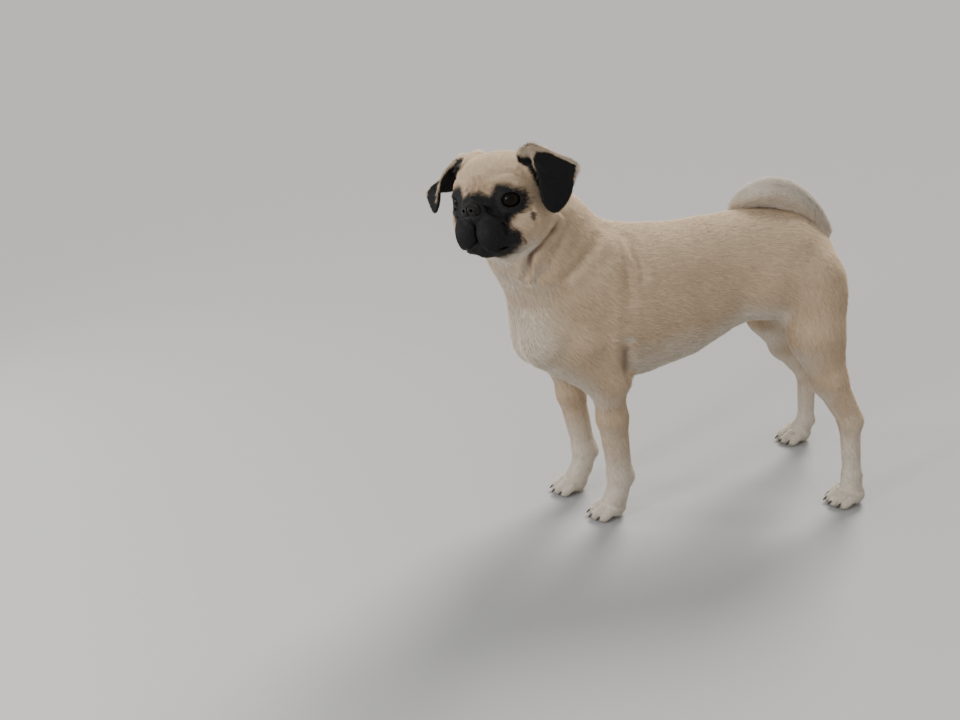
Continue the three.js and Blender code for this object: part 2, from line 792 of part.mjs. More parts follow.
const TAIL_TAPER = 0.64
const TAIL_RINGS = 20
const TAIL_FACETS = 12

function tailRadius(t) {
  const swell = THREE.MathUtils.smoothstep(t, 0.1, 0.45)
  const taper = 1 - TAIL_TAPER * THREE.MathUtils.smoothstep(t, 0.54, 1)
  return THREE.MathUtils.lerp(TAIL_ROOT_RADIUS, TAIL_RADIUS, swell) * taper
}

function tailTube(extra) {
  const curve = new THREE.CatmullRomCurve3(TAIL_PATH.map((p) => new THREE.Vector3(...p)))
  return solid(tube(curve, (t) => tailRadius(t) + extra, TAIL_RINGS, TAIL_FACETS))
}

// A claw: a short curved cone that leaves the front of a toe. Its root, arch and tip are each
// given as the distance ahead of the toe's end and the height.
const CLAW = { root: [-5, 8], arch: [3.4, 8.6], tip: [5.8, 3], radius: 2.2, taper: 1.4 }
const CLAW_RINGS = 3
const CLAW_FACETS = 6

function clawTube([x, y], size, extra) {
  const bend = [CLAW.root, CLAW.arch, CLAW.tip].map(
    ([ahead, height]) => new THREE.Vector3(x - ahead * size, y, height * size),
  )
  const curve = new THREE.QuadraticBezierCurve3(...bend)
  const radiusAt = (t) => (CLAW.radius - CLAW.taper * t) * size + extra
  return solid(tube(curve, radiusAt, CLAW_RINGS, CLAW_FACETS))
}

const MATERIALS = {
  coat: { color: 0xcdb697, roughness: 0.82, metalness: 0 },
  pale_coat: { color: 0xded2c0, roughness: 0.82, metalness: 0 },
  mask: { color: 0x4a423e, roughness: 0.8, metalness: 0 },
  ear: { color: 0x2b2725, roughness: 0.8, metalness: 0 },
  nose: { color: 0x14110f, roughness: 0.35, metalness: 0 },
  eye: { color: 0x120c09, roughness: 0.08, metalness: 0 },
  claw: { color: 0x2a2522, roughness: 0.45, metalness: 0 },
}

const group = new THREE.Group()
group.name = 'pug'

function add(name, body, material) {
  const mesh = new THREE.Mesh(toGeometry(body), new THREE.MeshStandardMaterial(MATERIALS[material]))
  mesh.name = name
  mesh.geometry.computeVertexNormals()
  group.add(mesh)
}

// Planes that part the flesh, as [point, normal that points into the piece]
const HEAD_PLANES = [[headPoint(-17, 0, -17), planeOfHead(0.66, 0.75)]]
const NECK_PLANES = [[[-158, 0, 279], [-0.56, 0, 0.83]]]

function planeOfHead(f, u) {
  const n = AXES.f.clone().multiplyScalar(f).addScaledVector(AXES.u, u)
  return [n.x, n.y, n.z]
}

function earPlanes(side) {
  const outward = AXES.l.clone().multiplyScalar(-side * 0.97).addScaledVector(AXES.u, 0.23)
  const above = AXES.u.clone()
  return [
    [headPoint(0, -side * 48.5, 22), outward.toArray()],
    [headPoint(0, -side * 60, -30), above.toArray()],
  ]
}

function forelegPlanes(name) {
  const s = SIDES[name]
  return [
    [[0, s * 12, 158], [0, s * 0.62, -0.78]],
    [[0, s * 8, 0], [0, s, 0]],
    [[-205, 0, 215], [0.85, 0, -0.5]],
    [[-94, 0, 190], [-1, 0, 0]],
  ]
}

function hindlegPlanes(name) {
  const s = SIDES[name]
  return [
    [[0, s * 12, 192], [0, s * 0.74, -0.67]],
    [[0, s * 8, 0], [0, s, 0]],
    [[28, 0, 226], [0.84, 0, -0.54]],
  ]
}

const pawPlanes = (height) => [[[0, 0, height], [0, 0, -1]]]
const FLOOR = cutter([[[0, 0, 0], [0, 0, 1]]])

// Head, ears, eyes and nose
const headBox = [[-306, -140, 290], [-128, 58, 424]] // the head's box in the dog
let head = solid(await thinned(fleshDistance, ...headBox, HEAD_STEP, HEAD_TRIANGLES))
head = largest(head.intersect(cutter(HEAD_PLANES)))
for (const [name, side] of Object.entries(SIDES)) {
  const [ear, rest] = part(head, earPlanes(side))
  add(`ear_${name}`, largest(ear), 'ear')
  head = largest(rest)
}

for (const [name, side] of Object.entries(SIDES)) {
  const { centre } = eyeFrame(-side)
  const place = headPoint(centre.x, centre.y, centre.z)
  const sphere = new THREE.SphereGeometry(EYE_RADIUS, 18, 12)
  sphere.deleteAttribute('uv')
  sphere.deleteAttribute('normal')
  const eyeball = welded(sphere)
  eyeball.translate(...place)
  add(`eye_${name}`, solid(eyeball), 'eye')
  head = head.subtract(grown(eyeball, place, GAP, EYE_RADIUS))
}

const NOSE_RADIUS = 8
const NOSE_REACH = 22
const nosePlace = headPoint(47, 0, 0)
const noseBox = [nosePlace.map((v) => v - NOSE_REACH), nosePlace.map((v) => v + NOSE_REACH)]
const noseSurface = await thinned(noseField(), ...noseBox, NOSE_STEP, NOSE_TRIANGLES)
add('nose', solid(noseSurface), 'nose')
head = head.subtract(grown(noseSurface, nosePlace, GAP * 1.4, NOSE_RADIUS))
add('head', largest(head), 'mask')

// Neck, torso, tail and legs
const bodyBox = [[-262, -104, 20], [172, 108, 386]]
let body = solid(await thinned(fleshDistance, ...bodyBox, BODY_STEP, BODY_TRIANGLES))
body = body.subtract(cutter(HEAD_PLANES, GAP))
const [neck, trunk] = part(largest(body), NECK_PLANES)
add('neck', largest(neck), 'coat')

const tail = tailTube(0)
let torso = largest(trunk).subtract(tailTube(GAP))

const LEGS = {
  fore: { planes: forelegPlanes, joints: FORELEG, cut: FORE_PAW_CUT, size: FORE_PAW_SIZE },
  hind: { planes: hindlegPlanes, joints: HINDLEG, cut: HIND_PAW_CUT, size: HIND_PAW_SIZE },
}
const PAW_AHEAD = 46 // reach of the box round a paw
const PAW_BESIDE = 32
const CLAW_SET = 4 // how far past a toe's last joint the claw sits

for (const [kind, leg] of Object.entries(LEGS)) {
  for (const name of Object.keys(SIDES)) {
    const [limbBody, rest] = part(torso, leg.planes(name))
    torso = rest
    const abovePaw = limbBody.subtract(cutter(pawPlanes(leg.cut), GAP))
    add(`${kind}leg_${name}`, largest(abovePaw), 'coat')
    const [px, py] = leg.joints[name].paw
    const low = [px - PAW_AHEAD, py - PAW_BESIDE, -6]
    const high = [px + PAW_AHEAD, py + PAW_BESIDE, leg.cut + 12]
    const pawSurface = await thinned(fleshDistance, low, high, PAW_STEP, PAW_TRIANGLES)
    let paw = solid(pawSurface).intersect(cutter(pawPlanes(leg.cut))).intersect(FLOOR)
    TOES.forEach((toe, i) => {
      const tip = [px - (toe.ahead + CLAW_SET) * leg.size, py + toe.aside * leg.size]
      add(`claw_${kind}_${name}_${i + 1}`, clawTube(tip, leg.size, 0), 'claw')
      paw = paw.subtract(clawTube(tip, leg.size, GAP))
    })
    add(`paw_${kind}_${name}`, largest(paw), 'pale_coat')
  }
}
add('torso', largest(torso), 'coat')
add('tail', tail, 'coat')

// The dog stands on the floor, over the middle of its own length and width
const bounds = new THREE.Box3().setFromObject(group)
const middle = bounds.getCenter(new THREE.Vector3())
for (const mesh of group.children) mesh.geometry.translate(-middle.x, -middle.y, -bounds.min.z)

export default group
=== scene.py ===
# %% [markdown]
# # A standing pug, life size
# This lesson builds a fawn pug with a black mask, the way a museum would show it: standing
# square on its four paws, its head turned towards us and its tail curled over its back.
# The solid parts come in as a fixed frame. We add what a real dog shows on top of them: one
# skin without seams, a short coat made of thousands of tufts, wet eyes, a leathery nose and
# dull claws.

# %% Load the frame
import math

import bmesh
import bpy
import numpy as np
from mathutils import Matrix, Vector


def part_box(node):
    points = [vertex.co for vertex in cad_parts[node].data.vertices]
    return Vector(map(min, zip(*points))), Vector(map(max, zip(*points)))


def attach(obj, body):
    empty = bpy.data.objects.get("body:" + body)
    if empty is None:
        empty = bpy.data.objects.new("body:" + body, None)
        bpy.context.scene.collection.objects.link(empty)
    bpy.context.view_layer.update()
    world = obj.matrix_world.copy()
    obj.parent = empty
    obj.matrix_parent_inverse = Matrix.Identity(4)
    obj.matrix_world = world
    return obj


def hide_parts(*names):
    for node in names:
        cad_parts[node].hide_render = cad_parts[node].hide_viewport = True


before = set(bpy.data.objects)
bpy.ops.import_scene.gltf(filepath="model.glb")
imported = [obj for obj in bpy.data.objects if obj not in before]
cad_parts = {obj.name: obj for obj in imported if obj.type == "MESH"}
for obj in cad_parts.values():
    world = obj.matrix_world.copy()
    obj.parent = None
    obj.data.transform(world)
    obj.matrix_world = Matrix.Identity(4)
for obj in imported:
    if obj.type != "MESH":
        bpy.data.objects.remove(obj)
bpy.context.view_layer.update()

print("solid parts in the frame:", len(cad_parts))

# %% [markdown]
# ## Where the head is
# A dog's head is easiest to describe in its own directions: forward along the muzzle, to its
# left, and up. We keep the head's place and its turn as a few numbers, in millimetres and
# degrees, and turn points from the dog's directions to the head's and back. The frame stands
# with its middle over the origin, so we measure the shift from the middle of one eye.

# %% Head directions
MM = 0.001
HEAD_CENTRE = np.array([-217.0, -36.0, 360.0])
HEAD_TURN, HEAD_LIFT, HEAD_TILT = np.radians([48.0, 4.0, 6.0])
EYE_CENTRE = np.array([20.5, 25.5, 4.5])
EYE_RADIUS = 11.0
SIDES = {"left": 1.0, "right": -1.0}  # the dog's left is to the left of its own head


def unit(v):
    v = np.array(v, float)
    return v / np.linalg.norm(v)


def head_directions():
    ahead = np.array([-math.cos(HEAD_TURN), -math.sin(HEAD_TURN), 0.0])
    aside = np.array([math.sin(HEAD_TURN), -math.cos(HEAD_TURN), 0.0])
    above = np.array([0.0, 0.0, 1.0])
    forward = ahead * math.cos(HEAD_LIFT) + above * math.sin(HEAD_LIFT)
    crown = above * math.cos(HEAD_LIFT) - ahead * math.sin(HEAD_LIFT)
    left = aside * math.cos(HEAD_TILT) + crown * math.sin(HEAD_TILT)
    up = crown * math.cos(HEAD_TILT) - aside * math.sin(HEAD_TILT)
    return np.array([forward, left, up])


HEAD_AXES = head_directions()


def to_head(points):
    return (points - HEAD_CENTRE) @ HEAD_AXES.T


def from_head(points):
    return HEAD_CENTRE + np.asarray(points, float) @ HEAD_AXES


def mirrored(point, side):
    return np.array([point[0], point[1] * side, point[2]])


eye_low, eye_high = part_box("eye_left")
eye_middle = np.array((eye_low + eye_high) / 2) / MM
SHIFT = eye_middle - from_head(EYE_CENTRE)


def placed(points):
    """Points of the dog in millimetres, as places in the frame in metres."""
    return (np.asarray(points, float) + SHIFT) * MM


print("the frame is shifted from the dog's own numbers by", SHIFT.round(2), "mm")

# %% [markdown]
# ## The camera
# The camera comes first. It looks down at the dog by 22 degrees from the height of a person who
# bends a little, a touch from the front.

# %% Camera
CAMERA_PLACE = (-317.6, -821.7, 522.5)
CAMERA_DOWN, CAMERA_TURN, CAMERA_ROLL = np.radians([22.0, 5.0, 5.0])
CAMERA_LENS = 31.875


def camera_directions():
    forward = np.array([
        math.sin(CAMERA_TURN) * math.cos(CAMERA_DOWN),
        math.cos(CAMERA_TURN) * math.cos(CAMERA_DOWN),
        -math.sin(CAMERA_DOWN),
    ])
    level = np.array([math.cos(CAMERA_TURN), -math.sin(CAMERA_TURN), 0.0])
    upright = np.cross(level, forward)
    right = level * math.cos(CAMERA_ROLL) - upright * math.sin(CAMERA_ROLL)
    up = upright * math.cos(CAMERA_ROLL) + level * math.sin(CAMERA_ROLL)
    return right, up, -forward


def make_camera():
    data = bpy.data.cameras.new("camera")
    data.lens = CAMERA_LENS
    data.sensor_width = 36.0
    data.sensor_fit = "HORIZONTAL"
    data.clip_start = 0.01
    camera = bpy.data.objects.new("camera", data)
    bpy.context.scene.collection.objects.link(camera)
    turn = np.array(camera_directions()).T
    camera.matrix_world = Matrix.Translation(placed(CAMERA_PLACE)) @ Matrix(turn).to_4x4()
    return camera


bpy.context.scene.camera = make_camera()
print("camera at", placed(CAMERA_PLACE).round(3))

# %% [markdown]
# ## Flesh as a distance
# The body has no edges, so we don't model it from boxes. We describe it by a distance: how
# far any point is from the surface, below zero inside. Each muscle is an ellipsoid or a limb
# between two joints, and neighbours melt together over a few millimetres, as flesh does
# under skin. Each form also knows which way the hair on it lies.

# %% Forms and how they join
class Form:
    """One mass of flesh: its distance, a ball round it, how softly it joins, its hair's lie."""

    def __init__(self, distance, centre, reach, blend, lie, group):
        self.distance = distance
        self.centre = centre
        self.reach = reach
        self.blend = blend
        self.lie = unit(lie)
        self.group = group


def lengths(vectors):
    return np.sqrt(np.einsum("ij,ij->i", vectors, vectors))


def normed(vectors, least=1e-6):
    """Vectors made one long; those that are shorter than the least stay shorter than one."""
    return vectors / np.maximum(lengths(vectors), least)[:, None]


def ellipsoid(centre, radii, blend, lie=(1, 0, 0), turn=0.0, group="torso"):
    centre, radii = np.array(centre, float), np.array(radii, float)
    cos, sin = math.cos(turn), math.sin(turn)

    def distance(points):
        d = points - centre
        local = np.stack([d[:, 0] * cos + d[:, 2] * sin, d[:, 1], d[:, 2] * cos - d[:, 0] * sin], 1)
        near = lengths(local / radii)
        steep = lengths(local / radii**2)
        return np.where(steep < 1e-9, -radii.min(), near * (near - 1) / np.maximum(steep, 1e-9))

    return Form(distance, centre, radii.max(), blend, lie, group)


def limb(start, end, radius_start, radius_end, blend, flat=1.0, lie=None, group="torso"):
    start, end = np.array(start, float), np.array(end, float)
    narrow = np.array([1.0, 1.0 / flat, 1.0])
    bone = (end - start) * narrow

    def distance(points):
        p = (points - start) * narrow
        t = np.clip(p @ bone / (bone @ bone), 0, 1)
        return lengths(p - t[:, None] * bone) - (radius_start + (radius_end - radius_start) * t)

    reach = np.linalg.norm(end - start) / 2 + max(radius_start, radius_end)
    lie = end - start if lie is None else lie
    return Form(distance, (start + end) / 2, reach, blend, lie, group)


def chain(stations, blend, lie, group):
    forms = []
    for (start, r0, flat), (end, r1, _) in zip(stations, stations[1:]):
        forms.append(limb(start, end, r0, r1, blend, flat, lie, group))
    return forms


def smooth_min(a, b, k):
    h = np.maximum(k - np.abs(a - b), 0) / k
    return np.minimum(a, b) - h * h * k * 0.25


def smooth_max(a, b, k):
    return -smooth_min(-a, -b, k)


def join(forms, points):
    d = np.full(len(points), 1e3)
    for form in forms:
        gap = lengths(points - form.centre) - form.reach * 1.05
        near = gap < d + form.blend
        if near.any():
            d[near] = smooth_min(d[near], form.distance(points[near]), form.blend)
    return d


print("two surfaces 1 mm away, joined over 4 mm, meet at", smooth_min(1.0, 1.0, 4), "mm")

# %% [markdown]
# ## Torso and neck
# A pug's back is level and its belly rises from a deep chest to the loin. The torso is a
# chain of round sections along the spine, narrower than they are high. The neck rises from
# the shoulders, and shoulder blades, flanks and buttocks are laid over it.

# %% Torso and neck
WITHERS = 316.0
TORSO = [  # place along the dog, drop of the back from the withers, half height, flatness
    (-149, 16, 62, 0.88), (-118, 1, 79, 0.8), (-80, 4, 75, 0.82), (-40, 6, 68, 0.85),
    (0, 4, 58, 0.88), (38, 2, 53, 0.92), (70, 6, 52, 0.98), (90, 21, 45, 1.0),
]
NECK = [((-153, 0, 276), 60, 1), ((-174, -5, 307), 51.5, 1), ((-196, -17, 340), 45, 1)]
BACKWARD = (1, 0, -0.3)
DOWN_NECK = (0.5, 0.12, -0.8)


def torso_forms():
    stations = [((x, 0, WITHERS - drop - half), half, flat) for x, drop, half, flat in TORSO]
    forms = chain(stations, 18, BACKWARD, "torso")
    forms += chain(NECK, 22, DOWN_NECK, "neck")
    forms.append(ellipsoid((-182, 0, 214), (25, 33, 34), 18, (0.25, 0, -1), -0.5))
    for s in (-1, 1):
        forms.append(ellipsoid((-132, s * 40, 262), (26, 24, 50), 20, (0.7, 0, -0.7), -0.3))
        forms.append(ellipsoid((100, s * 28, 224), (33, 27, 37), 20, (0.7, 0, -1)))
        forms.append(ellipsoid((52, s * 34, 242), (30, 22, 30), 16, (1, 0, -0.6)))
    return forms


BODY = torso_forms()
print("forms in the torso and the neck:", len(BODY))

# %% [markdown]
# ## Legs and paws
# Front legs are nearly straight columns, close together under the chest. Hind legs zigzag
# through the stifle and the hock. A paw is a low pad on a flat sole, with four toes, the two
# middle ones ahead, and each toe bends down at its knuckle. Each leg is given by its joints.

# %% Legs and paws
FORELEG = {  # arm, elbow, wrist, paw
    "left": ((-144, -45, 212), (-122, -45, 168), (-108, -35, 52), (-113, -31)),
    "right": ((-167, 42, 208), (-150, 42, 164), (-131, 34, 50), (-142, 31)),
}
ELBOW_RADIUS = 19
HINDLEG = {  # hip, stifle, hock, paw
    "left": ((95, -34, 244), (96, -50, 192), (134, -62, 94), (141, -69)),
    "right": ((102, 34, 244), (93, 50, 184), (150, 67, 95), (153, 77)),
}
SHIN_BOW = 5
FORE_PAW_SIZE, HIND_PAW_SIZE = 0.9, 0.88
TOES = [  # ahead, aside, root ahead, radius
    (18, -14.6, -1, 7.3), (25, -5.6, 3, 7.7), (25, 5.6, 3, 7.7), (18, 14.6, -1, 7.3),
]
TOE_BLEND = 1.8
TOE_TIP_HEIGHT, KNUCKLE_HEIGHT = 6.3, 12.2
PAD_RADII, SOLE_RADIUS, SOLE_REACH = np.array([13.5, 15.0, 12.5]), 7.0, 15.0
OUTWARD = {"left": -1, "right": 1}  # the dog's left is on the side of minus y


def between(a, b, share):
    return tuple(p + (q - p) * share for p, q in zip(a, b))


def paw_forms(paw, size, group):
    px, py = paw
    sole = SOLE_RADIUS * size
    front = (px - SOLE_REACH * size, py, sole)
    forms = [
        ellipsoid((px, py, 10.3), PAD_RADII * size, 12, (-1, 0, -0.3), group=group),
        limb(front, (px, py, sole), sole, sole, 4, 2.0, group=group),
    ]
    for ahead, aside, root_ahead, radius in TOES:
        r = radius * size
        bend = (root_ahead + ahead * 0.45) * size
        root = (px - root_ahead * size, py + aside * 0.7 * size, 12)
        knuckle = (px - bend, py + aside * 0.9 * size, KNUCKLE_HEIGHT)
        tip = (px - ahead * size, py + aside * size, TOE_TIP_HEIGHT * size)
        forms.append(limb(root, knuckle, r, r, TOE_BLEND, group=group))
        forms.append(limb(knuckle, tip, r, r * 0.94, TOE_BLEND, group=group))
    return forms


def foreleg_forms(name):
    s = OUTWARD[name]
    group = "foreleg_" + name
    arm, elbow, wrist, paw = FORELEG[name]
    forearm = between(elbow, wrist, 0.38)
    pastern = (wrist[0] - 3, wrist[1], 26)
    instep = (wrist[0] - 4, wrist[1], 32)
    pad = (wrist[0] + 9, wrist[1], wrist[2] - 3)
    return [
        limb((-176, s * 40, 216), elbow, 31, ELBOW_RADIUS, 16, 0.9, group="torso"),
        limb(arm, elbow, 27, ELBOW_RADIUS, 14, 0.9, group="torso"),
        limb(elbow, forearm, ELBOW_RADIUS, 16.5, 10, 0.97, group=group),
        limb(forearm, wrist, 16.5, 14, 8, group=group),
        ellipsoid(pad, (7, 7, 7), 6, (0, 0, -1), group=group),
        limb(wrist, pastern, 14, 12, 9, group=group),
        limb(instep, (paw[0] - 9, paw[1], 14), 10, 7.5, 8, 1.3, group=group),
    ] + paw_forms(paw, FORE_PAW_SIZE, "paw_fore_" + name)


def hindleg_forms(name):
    s = OUTWARD[name]
    group = "hindleg_" + name
    hip, stifle, hock, paw = HINDLEG[name]
    bx, by, bz = between(stifle, hock, 0.5)
    shin = (bx - SHIN_BOW, by, bz)
    pastern = (hock[0] + 6, (hock[1] + paw[1]) / 2, 30)
    back_of_shin = (shin[0] + 2, shin[1], shin[2] + 8)
    tendon = (shin[0] + 6, shin[1], shin[2])
    heel = (hock[0] + 6, hock[1], hock[2] + 3)
    return [
        limb(hip, stifle, 33, 26, 14, 0.88, group=group),
        limb((99, s * 34, 224), back_of_shin, 29, 13, 14, 0.85, group=group),
        limb(stifle, shin, 26, 17, 12, 0.85, group=group),
        limb(shin, hock, 17, 11.5, 10, 0.9, group=group),
        limb(tendon, heel, 10, 7.5, 9, group=group),
        limb(hock, pastern, 11.5, 10, 8, group=group),
        limb(pastern, (paw[0] - 4, paw[1], 16), 10, 10, 8, group=group),
    ] + paw_forms(paw, HIND_PAW_SIZE, "paw_hind_" + name)


for leg_side in SIDES:
    BODY += foreleg_forms(leg_side) + hindleg_forms(leg_side)
print("forms in the body, with its legs:", len(BODY))

# %% [markdown]
# ## Tail
# The tail leaves the end of the croup, arches forward and curls down on the far side. It is
# a tube of changing radius along a smooth curve through a few places. Hair on it lies from
# the root to the tip.

# %% Tail
TAIL_PATH = [
    (110, 2, 264), (118, 2, 283), (111, 2, 299), (97, 3, 315), (80, 5, 327), (62, 9, 331),
    (47, 18, 325), (42, 32, 313), (50, 46, 302),
]
TAIL_ROOT_RADIUS, TAIL_RADIUS, TAIL_TAPER = 11.0, 14.0, 0.64
TAIL_BLEND = 2.5


def smooth_curve(places, steps=6):
    """A curve through the places, as a close row of points."""
    p = np.array(places, float)
    p = np.vstack([2 * p[0] - p[1], p, 2 * p[-1] - p[-2]])
    t = np.linspace(0, 1, steps, endpoint=False)[:, None]
    rows = []
    for a, b, c, d in zip(p, p[1:], p[2:], p[3:]):
        cubic = (3 * b - a - 3 * c + d) * t**3 + (2 * a - 5 * b + 4 * c - d) * t**2
        rows.append(0.5 * (2 * b + (c - a) * t + cubic))
    return np.vstack(rows + [p[-2:-1]])


def mirrored_curve(places, side, steps):
    return smooth_curve([mirrored(place, side) for place in places], steps)


def smooth_step(low, high, x):
    t = np.clip((x - low) / (high - low), 0, 1)
    return t * t * (3 - 2 * t)


def nearest_on_path(points, path):
    """For each point: the distance to the path, and how far along it, from 0 to 1."""
    best = np.full(len(points), 1e9)
    along = np.zeros(len(points))
    count = len(path) - 1
    for i in range(count):
        bone = path[i + 1] - path[i]
        p = points - path[i]
        t = np.clip(p @ bone / (bone @ bone), 0, 1)
        d = lengths(p - t[:, None] * bone)
        closer = d < best
        best[closer] = d[closer]
        along[closer] = (i + t[closer]) / count
    return best, along


TAIL_CURVE = smooth_curve(TAIL_PATH)


def tail_distance(points):
    d, t = nearest_on_path(points, TAIL_CURVE)
    radius = TAIL_ROOT_RADIUS + (TAIL_RADIUS - TAIL_ROOT_RADIUS) * smooth_step(0.1, 0.45, t)
    return d - radius * (1 - TAIL_TAPER * smooth_step(0.54, 1.0, t)), t


print("tail is", round(float(lengths(np.diff(TAIL_CURVE, axis=0)).sum())), "mm long")

# %% [markdown]
# ## Head
# A pug's head is round and blunt: a broad skull, full cheeks, a very short bridge with a
# fold of skin over the nose, thick lip pads and an undershot chin. All of it is written in
# the head's own directions and mirrored from one side to the other.

# %% Head forms
def head_forms():
    forms = [
        ellipsoid((-8, 0, 8), (46, 46, 38), 12),
        ellipsoid((8, 0, 16), (26, 32, 26), 10),
        ellipsoid((35.5, 0, -5), (15, 15, 13), 7),
        ellipsoid((30, 0, -36), (13, 12.5, 11), 5),
        limb((2, 0, -26), (-30, 0, -20), 26, 40, 14),
    ]
    for s in (-1, 1):
        forms.append(ellipsoid((-2, s * 27, -15), (31, 23, 28), 12))
        forms.append(ellipsoid((15, s * 22, -29), (20, 15.5, 15.5), 9))
        forms.append(ellipsoid((15, s * 21, 15), (15, 14, 12), 8))
        forms.append(ellipsoid((-14, s * 37, 30), (23, 13, 17), 9))
        forms.append(ellipsoid((33.5, s * 12, -23), (17, 15, 20), 4))
        fold = [(37, 0, 10), (34, s * 12, 4), (27, s * 25, -10)]
        forms.append(limb(fold[0], fold[1], 4.2, 4.6, 4))
        forms.append(limb(fold[1], fold[2], 4.6, 3.4, 4))
    return forms


HEAD = head_forms()
HEAD_REACH, NECK_BLEND = 130.0, 9.0
print("forms in the head:", len(HEAD))

# %% [markdown]
# ## Ears
# An ear is a thin sheet that rises from the skull to a crest and then folds over, so that a
# flap hangs down. Each of the two sheets is a fan of triangles inside a smooth outline, and
# the ear is everything within a millimetre or two of them.

# %% Ears
EARS = {
    "left": dict(
        rise=[(14, 36, 37), (9, 43, 48), (-4, 58, 39), (-17, 74, 28), (-30, 60, 22), (-34, 40, 24)],
        flap=[
            (10, 45, 48), (-3, 58, 39), (-17, 74, 27), (-14, 71, 14), (-10, 69, 2), (-2, 65, -7),
            (7, 61, -10), (13, 57, -3), (14, 55, 10), (14, 54, 26), (12, 47, 40),
        ],
    ),
    "right": dict(
        rise=[
            (12, 36, 35), (-10, 44, 43), (0, 63, 26), (4, 78, 16), (-14, 62, 14), (-31, 40, 24),
            (-26, 36, 44),
        ],
        flap=[
            (-8, 47, 42), (0, 63, 26), (5, 80, 15), (7, 78, 4), (12, 70, -3.5), (16, 64, -1),
            (16, 60, 7), (14, 58, 20), (8, 51, 34),
        ],
    ),
}
EAR_HALF_THICKNESS = 1.9
RISE_BULGE, FLAP_BULGE = 1.0, 3.0
EAR_BLEND = 3.5
EAR_MIDDLE, EAR_REACH, EAR_SIGHT = np.array([-5.0, 58.0, 18.0]), 46.0, 8.0


def closed_curve(places, steps=3):
    p = np.array(places, float)
    return smooth_curve(np.vstack([p[-1:], p, p[:2]]), steps)[steps:-steps - 1]


def sheet_triangles(places, side, bulge):
    rim = closed_curve([mirrored(place, side) for place in places])
    middle = rim.mean(0) + (0, side * bulge, 0)
    return [(rim[i], rim[(i + 1) % len(rim)], middle) for i in range(len(rim))]


def triangle_distance(points, corners):
    a, b, c = corners
    normal = np.cross(b - a, c - a)
    inside = np.ones(len(points), bool)
    best = np.full(len(points), 1e9)
    for start, end in ((a, b), (b, c), (c, a)):
        edge = end - start
        p = points - start
        inside &= p @ np.cross(normal, edge) >= 0
        t = np.clip(p @ edge / (edge @ edge), 0, 1)
        best = np.minimum(best, lengths(p - t[:, None] * edge))
    height = np.abs((points - a) @ normal) / np.linalg.norm(normal)
    return np.where(inside, height, best)


EAR_TRIANGLES = {}
for ear_name, ear in EARS.items():
    rise = sheet_triangles(ear["rise"], SIDES[ear_name], RISE_BULGE)
    flap = sheet_triangles(ear["flap"], SIDES[ear_name], FLAP_BULGE)
    EAR_TRIANGLES[ear_name] = rise + flap


def ear_distance(local, name):
    """Distance to one ear, for points in the head's own directions."""
    d = lengths(local - mirrored(EAR_MIDDLE, SIDES[name])) - EAR_REACH
    near = d < EAR_SIGHT
    if near.any():
        best = np.full(near.sum(), 1e3)
        for corners in EAR_TRIANGLES[name]:
            best = np.minimum(best, triangle_distance(local[near], corners))
        d[near] = best - EAR_HALF_THICKNESS
    return d


print("triangles in the ears' sheets:", sum(len(t) for t in EAR_TRIANGLES.values()))

# %% [markdown]
# ## Lids, mouth and folds
# The eye is a ball in a socket. The lids are a shell round it, open in an oval to the front.
# The mouth is a groove that drops from the middle towards the corners. Folds are creases
# along a path: the skin goes in along the middle and swells a little on both sides.

# %% Eyes and lids
LID_HALF_WIDTH, LID_HALF_HEIGHT, LID_THICKNESS = 7.9, 5.9, 2.3
LID_MIDDLE = (0.8, -1.2)  # the middle of the opening, across and above the gaze
LID_BACK = 4.0
LID_BLEND, LID_EDGE_BLEND, LID_SIGHT = 4, 1.0, 12


def eye_directions(side):
    gaze = unit((0.86, side * 0.5, 0.06))
    across = unit(np.cross((0, 0, 1), gaze))
    return gaze, across, np.cross(gaze, across)


def in_eye(local, side):
    """Depth along the gaze, place across and above, and distance from the eye's middle."""
    p = local - mirrored(EYE_CENTRE, side)
    gaze, across, above = eye_directions(side)
    return p @ gaze, p @ across, p @ above, lengths(p)


def lid_oval(across, above, side):
    """1 on the edge of the lids, less inside the opening."""
    aside, lower = LID_MIDDLE
    return np.hypot((across - side * aside) / LID_HALF_WIDTH, (above - lower) / LID_HALF_HEIGHT)


def with_lids(d, local, side):
    depth, across, above, far = in_eye(local, side)
    near = far < EYE_RADIUS + LID_THICKNESS + LID_SIGHT
    shell = far[near] - EYE_RADIUS - LID_THICKNESS
    oval = lid_oval(across[near], above[near], side)
    opening = np.maximum((oval - 1) * LID_HALF_HEIGHT, LID_BACK - depth[near])
    d[near] = smooth_max(smooth_min(d[near], shell, LID_BLEND), -opening, LID_EDGE_BLEND)
    return d


print("in the head's directions the left eye looks along", eye_directions(1)[0].round(2))

# %% Mouth
MOUTH_MIDDLE, MOUTH_DROP, MOUTH_HALF_WIDTH = -29.0, 9.0, 31.0
MOUTH_DEPTH, LIP_CLEFT_DEPTH = 2.2, 1.1
MOUTH_FRONT, CLEFT_FRONT, CLEFT_TOP = 12, 34, -8
SLIT_HALF_HEIGHT, CLEFT_HALF_WIDTH, GROOVE_BLEND = 0.4, 0.3, 1.2


def mouth_height(l):
    t = np.minimum(1, np.abs(l) / MOUTH_HALF_WIDTH)
    return MOUTH_MIDDLE - MOUTH_DROP * np.sin(t * math.pi * 0.86)


def groove(d, sheet, half_width, depth):
    slot = np.maximum(np.abs(sheet) - half_width, -d - depth)
    return smooth_max(d, -slot, GROOVE_BLEND)


